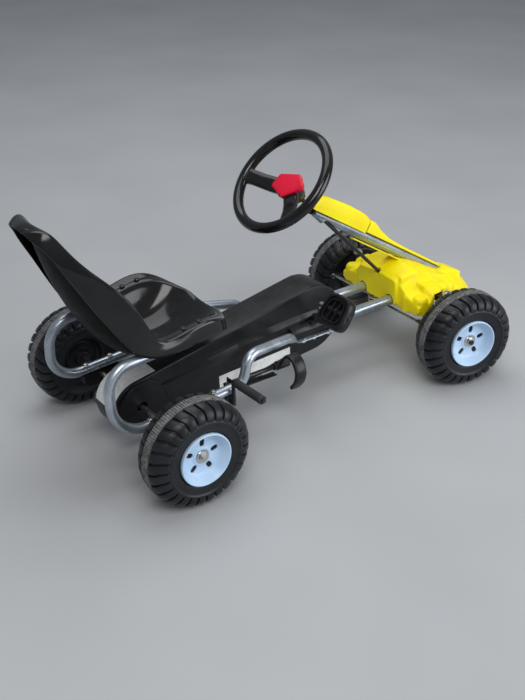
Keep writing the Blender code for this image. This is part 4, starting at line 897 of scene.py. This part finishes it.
def rounded_block(bm, along, across, height, lean):
    """A box with its upper corners drawn in, to be fused into the nose."""
    (x0, x1), (y0, y1), (z0, z1) = along, sorted(across), height
    inset = 0.004

    def ring(grow, back, front):
        return [(x0 - grow, y0 - grow, back), (x1 + grow, y0 - grow, front), (x1 + grow, y1 + grow, front),
                (x0 - grow, y1 + grow, back)]
    add_loft(bm, [ring(0, z0, z0), ring(0, z1 - inset + lean, z1 - inset), ring(-inset, z1 + lean, z1)])


def nose():
    """Blow-moulded nose: one skin, with rounded pods, bosses and ledges run together."""
    bm = shape(add_loft, [nose_ring(row, 0.0, 0.0) for row in NOSE_ROWS])
    for s in SIDES.values():
        for x, y, z, *profile in BOSSES:
            add_turned(bm, (x, s * y, z), (0, 0, 1), [(0, 0)] + profile, 32)
        for along, (y_in, y_out), height, lean in BLOCKS:
            rounded_block(bm, along, (s * y_in, s * y_out), height, lean)
    rounded_block(bm, (0.915, 0.956), (-0.03, 0.03), (0.13, 0.166), 0.014)
    body = piece("nose_shell", bm, "yellow_plastic", "frame", ("nose_fairing",), 60.0)
    given(body.modifiers.new("Remesh", "REMESH"), mode="VOXEL", voxel_size=0.0024)
    given(body.modifiers.new("Smooth", "SMOOTH"), factor=0.5, iterations=5)
    applied(body)
    carve_nose(body)


def carve_nose(body):
    """Hollows the nose from below and opens the ways for the rails, tube, column and kingpins."""
    wall = 0.0034
    inner = NOSE_ROWS[3:]
    back = inner[0]
    slim = [0.88 * v if k % 2 == 0 else v - 0.012 for k, v in enumerate(back[2:10])]
    inner.insert(0, [0.712, back[1]] + slim + [back[10] - 0.012])
    inner[-1] = [inner[-1][0] - wall] + inner[-1][1:]
    cuts = [shape(add_loft, [nose_ring(row, wall, 0.06) for row in inner])]
    r = RAIL_R + 0.002
    for s in SIDES.values():
        y = s * RAIL_Y
        outline = [(y - r, 0.0), (y + r, 0.0)] + arc(y, RAIL_Z, r, 0, 180, 12)
        cuts.append(shape(add_loft, [[(x, y, z) for y, z in outline] for x in (0.66, 0.72)]))
        y_in, y_out = sorted((s * 0.115, s * 0.18))
        cuts.append(shape(add_box, (KINGPIN_X - 0.02, y_in, 0.1), (KINGPIN_X + 0.02, y_out, 0.1965)))
        y = s * KINGPIN_Y
        cuts.append(shape(add_rod, (KINGPIN_X, y, 0.1), (KINGPIN_X, y, 0.26), 0.015, 32))
    d, bend = column_dir(), column_bend()
    cuts.append(shape(add_rod, bend - 0.06 * d, bend - 0.002 * d, 0.0085, 32))
    ends = [(x, 0, tube_z(x)) for x in (0.6, 0.904)]
    cuts.append(shape(add_rod, *ends, TUBE_R + 0.001, 40))
    for bm in cuts:
        combine(body, bm, "DIFFERENCE", 50.0)


def tongue():
    """The nose's thin lip that runs back under the support tube."""
    rings = []
    for k in range(9):
        share = k / 8
        x = 0.615 + 0.18 * share
        half = 0.006 + 0.0125 * min(1.0, share * 3) ** 0.5
        rings.append(across_tube(x, [
            (-half, -0.015), (-half, -0.0176), (-half * 0.5, -0.0186), (half * 0.5, -0.0186), (half, -0.0176),
            (half, -0.015), (half * 0.5, -0.0158), (-half * 0.5, -0.0158)]))
    piece("nose_tongue", shape(add_loft, rings), "yellow_plastic", "frame")


def across_tube(x, outline):
    """An outline of (sideways, up) set square across the support tube."""
    up = Vector((-TUBE_SLOPE, 0, 1.0)).normalized()
    return [Vector((x, 0, tube_z(x))) + h * up + Vector((0, y, 0)) for y, h in outline]


COVER_CREST = mm([(470, 36), (515, 45), (567, 48), (604, 47), (650, 39.5),
               (680, 27), (713, 19), (760, 16.5), (892, 15.2)])


def crest_at(x):
    """Height of the covers' top above the support tube's axis, square to the tube."""
    for (x0, h0), (x1, h1) in zip(COVER_CREST, COVER_CREST[1:]):
        if x <= x1:
            share = max(x - x0, 0.0) / (x1 - x0)
            return h0 + (h1 - h0) * (0.5 * share + 0.5 * eased(share))
    return COVER_CREST[-1][1]


def covers():
    count, wall = 30, 0.003
    for node, x0, x1, low in (("column_cover_upper", 0.476, 0.632, 0.006),
                              ("column_cover_lower", 0.635, 0.888, 0.01)):
        rings = []
        for i in range(count + 1):
            x = x0 + (x1 - x0) * i / count
            tuck = 0.0022 * (1.0 - min(i, count - i, 2) / 2.0)
            height = crest_at(x) - tuck
            half = TUBE_R + 0.004 - tuck * 0.4
            shoulder = min(0.009, (height - low) * 0.45)
            outer = [(half, low), (half, low + 0.4 * (height - shoulder - low)),
                     (half - 0.0002, height - shoulder), (half - 0.0022, height - 0.45 * shoulder),
                     (half - 0.006, height - 0.0006), (half - 0.0095, height)]
            top = max(height - 0.0026, TUBE_R + 0.0004)
            inner = [(half - 0.0085, top), (half - wall, top - shoulder * 0.6), (half - wall, low)]
            mirrored = [(-y, h) for half_ring in (outer, inner) for y, h in reversed(half_ring)]
            rings.append(across_tube(x, outer + mirrored + inner))
        made = piece(node + "_skin", shape(add_loft, rings), "yellow_plastic", "frame", (node,), 30.0)
        bevel(made, 0.0006, 2, 40.0)


# ---- steering ----
def steering_wheel():
    """Moulded rim with two wide spokes running down to a hub; the badge sits on the hub."""
    d = column_dir()
    turn = Matrix.Rotation(STEER_AT_REST, 3, d)
    up = turn @ Vector((cos(STEER_TILT), 0, sin(STEER_TILT)))
    left = turn @ Vector((0, 1, 0))
    rings = []
    for c, s in circle(120):
        out = c * up + s * left
        ring = []
        for q, w in circle(24):
            r = RIM_TUBE_R * (1.0 - 0.045 * max(0.0, -q) ** 6)
            ring.append(STEER_CENTRE + (RIM_R + r * q) * out + r * w * d)
        rings.append(ring)
    wheel = piece("steering_rim", shape(add_loft, rings, True), "gloss_black_plastic", "steering",
                  ("steering_wheel",))
    hub_profile = mm([(22, 0), (22, 26), (24, 29), (42, 27), (65, 18),
                   (70, 15), (70, 0)])
    combine(wheel, shape(add_turned, STEER_CENTRE, d, hub_profile), "UNION")
    # reach from the middle, half width, depth below the rim, half thickness
    stations = mm(((0, 18, 34, 8), (20, 18, 32.5, 7.8), (45, 17.8, 27.5, 7.4),
                (70, 17, 18, 7), (92, 16.8, 7, 6.6),
                (106, 18.5, 1.5, 6.4), (116, 23, 0, 6)))
    for side in SIDES.values():
        a = radians(180.0 - side * 64.5)
        out = cos(a) * up + sin(a) * left
        across = d.cross(out)
        rings = []
        for reach, half, deep, thick in stations:
            centre = STEER_CENTRE + reach * out + deep * d
            rings.append([centre + half * c * across + thick * s * d for c, s in rounded_square(24, 5)])
        combine(wheel, shape(add_loft, rings), "UNION")
    socket = shape(add_rod, STEER_CENTRE + 0.0415 * d, STEER_CENTRE + 0.09 * d, 0.0052)
    combine(wheel, socket, "DIFFERENCE", 40.0)
    badge(d, up, left)


def badge(d, up, left):
    """Blank five-sided badge, wider than it is high, with rounded corners."""
    corners = mm([(8, 43), (38, -8), (23, -48), (-27, -13), (-25, 40)])
    flat = [Vector((u, v, 0)) for u, v in corners]
    start = flat[-1].lerp(flat[0], 0.5)
    loop = rounded_path([start] + flat + [start], 0.009, 6)[1:-1]
    rings = []
    for deep, size in ((0.026, 0.96), (0.0205, 1.0), (0.019, 0.985), (0.0182, 0.95), (0.0176, 0.86),
                       (0.0172, 0.7)):
        centre = STEER_CENTRE + deep * d
        rings.append([centre + size * (p.x * up + p.y * left) for p in loop])
    piece("wheel_badge", shape(add_loft, rings), "red_plastic", "steering", ("steering_wheel_badge",), 30.0)


def column():
    bend = column_bend()
    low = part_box("steering_column")[0].z
    path = rounded_path([STEER_CENTRE + 0.042 * column_dir(), bend, (bend.x, 0, low)], 0.012, 10)
    bm = shape(add_tube, path, lambda t: 0.005 if t < 0.75 else 0.0042, 28)
    piece("column_rod", bm, "black_paint", "steering", ("steering_column",))


# ---- crank, pedals and hand levers ----
def crank_and_pedals():
    left, right = [Vector(joint_of(side + "_foot")["pos_m"]) - Vector((BACK, 0, 0)) for side in SIDES]
    arm_y, end_y = 0.085, 0.189
    path = rounded_path([
        (right.x, -end_y, right.z), (right.x, -arm_y, right.z), (CRANK_X, -arm_y, CRANK_Z),
        (CRANK_X, arm_y, CRANK_Z), (left.x, arm_y, left.z), (left.x, end_y, left.z)], 0.011, 10)
    piece("crank_rod", shape(add_tube, path, 0.006, 28), "zinc_steel", "crank_set", ("crank",))
    for side, s, place in (("left", 1.0, left), ("right", -1.0, right)):
        pedal(side, s, place)
        bolt_head(side + "_pedal_cap", (place.x, s * 0.1885, place.z), (0, s, 0), 0.005, 0.0005, True,
                  "black_paint", "crank_set")


def pedal_outline(size):
    """Rounded five-sided outline: (along the kart, across it) for a pedal lying flat."""
    half_long, half_wide, taper = 0.039 * size, 0.041 * size, 0.1
    return [Vector((half_long * s, half_wide * (1.0 - taper * s) * c, 0)) for c, s in rounded_square(60, 4)]


def pedal(side, s, place):
    """Moulded block: open faces with two raised rims and crossed ribs, top and bottom."""
    tilt = Matrix.Rotation(radians(-52.0), 3, "Y")
    centre = Vector((place.x, s * 0.146, place.z))
    half = 0.0135
    # size of the outline and how deep below the face, from the pocket's floor out to the side
    face = [(0.58, 0.011), (0.6, 0.0005), (0.66, 0.0), (0.69, 0.005), (0.76, 0.005), (0.79, 0.0), (0.91, 0.0),
            (0.97, 0.003), (1.0, 0.008)]
    levels = [(size, half - deep) for size, deep in face]
    levels += [(size, -h) for size, h in reversed(levels)]
    rings = [[centre + tilt @ (p + Vector((0, 0, h))) for p in pedal_outline(size)] for size, h in levels]
    piece(side + "_pedal_block", shape(add_loft, rings), "satin_black_plastic", side + "_foot",
          (side + "_pedal",), 30.0)
    bm = bmesh.new()
    for x, y, offset, inset in ((0.022, 0.0016, -0.008, 0.001), (0.022, 0.0016, 0.008, 0.001),
                                (0.0015, 0.022, 0.0, 0.002)):
        corners = [(-x, offset - y), (x, offset - y), (x, offset + y), (-x, offset + y)]
        add_loft(bm, [[centre + tilt @ Vector((px, py, h)) for px, py in corners]
                      for h in (inset - half, half - inset)])
    reach = Vector((0, 0.02, 0))
    add_rod(bm, centre - reach, centre + reach, 0.0092, 24)
    bevel(piece(side + "_pedal_ribs", bm, "satin_black_plastic", side + "_foot", smooth=20.0), 0.0004, 1)


def brake_lever():
    x, _, low = joint_of("brake")["pos_m"]
    x -= BACK
    high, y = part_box("brake_lever")[1].z - 0.0045, -0.158
    path = rounded_path([(x, -0.137, low), (x, y, low), (x, y, high), (x + 0.004, -0.262, high)], 0.008, 10)
    piece("brake_rod", shape(add_tube, path, 0.0045, 24), "black_paint", "brake", ("brake_lever",))
    length, ribs = 0.088, 22
    step = (length - 0.011) / ribs
    profile = [(0.0, 0.0047), (0.0, 0.0088), (0.0012, 0.0098), (0.004, 0.0098)]
    for k in range(ribs):
        start = 0.005 + step * k
        profile += [(start, 0.0086), (start + step * 0.35, 0.0095), (start + step * 0.7, 0.0095)]
    profile += [(length - 0.005, 0.0098), (length - 0.0012, 0.0098), (length, 0.0088), (length, 0.0047)]
    bm = shape(add_turned, (x + 0.0003, -0.169, high), path[-1] - path[-2], profile, 40)
    piece("brake_grip", bm, "grip_rubber", "brake", ("brake_lever_grip",), 40.0)


def smooth_line(points, steps):
    """A smooth curve through points (Catmull-Rom)."""
    pts = [Vector(p) for p in points]
    pts = [2 * pts[0] - pts[1]] + pts + [2 * pts[-1] - pts[-2]]
    out = []
    for a, b, c, d in zip(pts, pts[1:], pts[2:], pts[3:]):
        for t in [k / steps for k in range(steps)]:
            out.append(0.5 * (2 * b + (c - a) * t + (2 * a - 5 * b + 4 * c - d) * t * t
                              + (3 * b - a - 3 * c + d) * t ** 3))
    return out + [pts[-2]]


def shift_handle():
    """Hooked grip: a thick curved blade with a boss that takes the rod's end."""
    _, y, z = joint_of("shift")["pos_m"]
    x0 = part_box("shift_strap")[1].x - BACK + 0.006
    wide, half_thick = 0.028, 0.0046
    line = smooth_line([(0, -0.118, 0.14), (0, -0.127, 0.153), (0, -0.14, 0.173), (0, -0.156, 0.183),
                        (0, -0.173, 0.176), (0, -0.184, 0.155), (0, -0.18, 0.131), (0, -0.166, 0.111)], 6)
    forward = Vector((1, 0, 0))
    rings = []
    for here, along in zip(line, directions(line)):
        centre, across = here + (x0 + wide / 2) * forward, forward.cross(along)
        rings.append([centre + wide / 2 * c * forward + half_thick * s * across
                      for c, s in rounded_square(20, 5)])
    handle = piece("shift_grip", shape(add_loft, rings), "satin_black_plastic", "shift",
                   ("shift_handle",), 40.0)
    boss = [(-0.012, 0.0), (-0.012, 0.0072), (-0.0112, 0.008), (-0.004, 0.008), (-0.0035, 0.0095),
            (-0.0025, 0.0102), (wide, 0.0102), (wide + 0.001, 0.0092), (wide + 0.001, 0.0)]
    combine(handle, shape(add_turned, (x0, y, z), forward, boss, 32), "UNION", 40.0)
    hole = shape(add_rod, (x0 - 0.02, y, z), (x0 + wide + 0.02, y, z), 0.0053)
    combine(handle, hole, "DIFFERENCE", 40.0)


def trim_strap(strap):
    """The strap's front leg stops at the rod, so that the label above it shows."""
    applied(strap)
    front = max(v.co.x for v in strap.data.vertices) - BACK
    bm = shape(add_box, (front - 0.03, -0.3, 0.13), (front + 0.03, 0.3, 0.3))
    combine(strap, bm, "DIFFERENCE")


def small_parts():
    """The rest of the hardware keeps its CAD shape, with rounded edges and its own finish."""
    copies = {
        "black_paint": ["front_axle_beam", "rear_rail_bridge", "left_knuckle", "right_knuckle",
                        "brake_bracket", "shift_strap"],
        "zinc_steel": ["rear_axle", "rear_sprocket", "front_sprocket", "left_tie_rod", "right_tie_rod",
                       "shift_rod", "left_kingpin", "right_kingpin", "drive_chain"],
        "satin_black_plastic": ["left_crank_bearing", "right_crank_bearing", "left_axle_bearing",
                                "right_axle_bearing", "column_head_bush"],
    }
    for slot, nodes in copies.items():
        for node in nodes:
            made = finished_copy(node, slot, 0.0 if node == "drive_chain" else 0.0005)
            if node == "shift_rod":
                made.data.materials[0] = PAINTS["black_paint"]
            if node == "shift_strap":
                trim_strap(made)


# ---- floor, light and camera ----
def floor_and_light():
    half = 9.0
    bm = bmesh.new()
    corners = ((-half, -half, 0), (half, -half, 0), (half, half, 0), (-half, half, 0))
    bm.faces.new([bm.verts.new(p) for p in corners])
    floor = new_object("floor", bm)
    n = Nodes("floor_grey")
    n.set(Base_Color=n.ramp(n.noise(0.5, 2.0), 0.3, 0.7, (0.4, 0.41, 0.42), (0.44, 0.45, 0.46)),
          Roughness=0.9)
    floor.data.materials.append(n.material)
    world = bpy.data.worlds.new("studio")
    bpy.context.scene.world = world
    world.use_nodes = True
    colour, strength = world.node_tree.nodes["Background"].inputs[:2]
    colour.default_value = (0.86, 0.91, 1.0, 1.0)
    strength.default_value = 0.26
    lights = [("key", (-1.6, -2.4, 3.6), 80.0, 2.0, (1.0, 0.98, 0.95)),
              ("fill", (2.0, -3.2, 1.1), 95.0, 2.6, (0.92, 0.96, 1.0)),
              ("top", (0.2, 0.8, 3.8), 75.0, 3.2, (0.96, 0.98, 1.0))]
    aim = Vector((0, 0, 0.25))
    for name, place, energy, size, colour in lights:
        lamp = placed(name, given(bpy.data.lights.new(name, "AREA"), energy=energy, size=size, color=colour))
        turn = (aim - Vector(place)).to_track_quat("-Z", "Y")
        given(lamp, location=place, rotation_mode="QUATERNION", rotation_quaternion=turn)


def camera():
    """Seen from behind on the right, looking down at about 29 degrees."""
    lens = given(bpy.data.cameras.new("camera"), sensor_width=36.0, lens=54.4, clip_start=0.05)
    made = placed("camera", lens)
    bpy.context.scene.camera = made
    yaw, pitch, roll = 0.6288, 0.4999, -0.0056
    place = Vector((-1.3072, -1.7328, 1.2887))
    ahead = Vector((sin(yaw) * cos(pitch), cos(yaw) * cos(pitch), -sin(pitch)))
    right = ahead.cross(Vector((0, 0, 1))).normalized()
    up = right.cross(ahead)
    right, up = (cos(roll) * right + sin(roll) * up, cos(roll) * up - sin(roll) * right)
    made.matrix_world = Matrix.Translation(place) @ Matrix((right, up, -ahead)).transposed().to_4x4()


def main():
    camera()
    bpy.context.scene.view_settings.view_transform = "Standard"
    floor_and_light()
    main_rails()
    side_tubes()
    support_tube()
    wheels()
    case_upper()
    rail_sockets()
    case_lower()
    case_labels()
    seat()
    nose()
    tongue()
    covers()
    steering_wheel()
    column()
    crank_and_pedals()
    brake_lever()
    shift_handle()
    small_parts()


main()
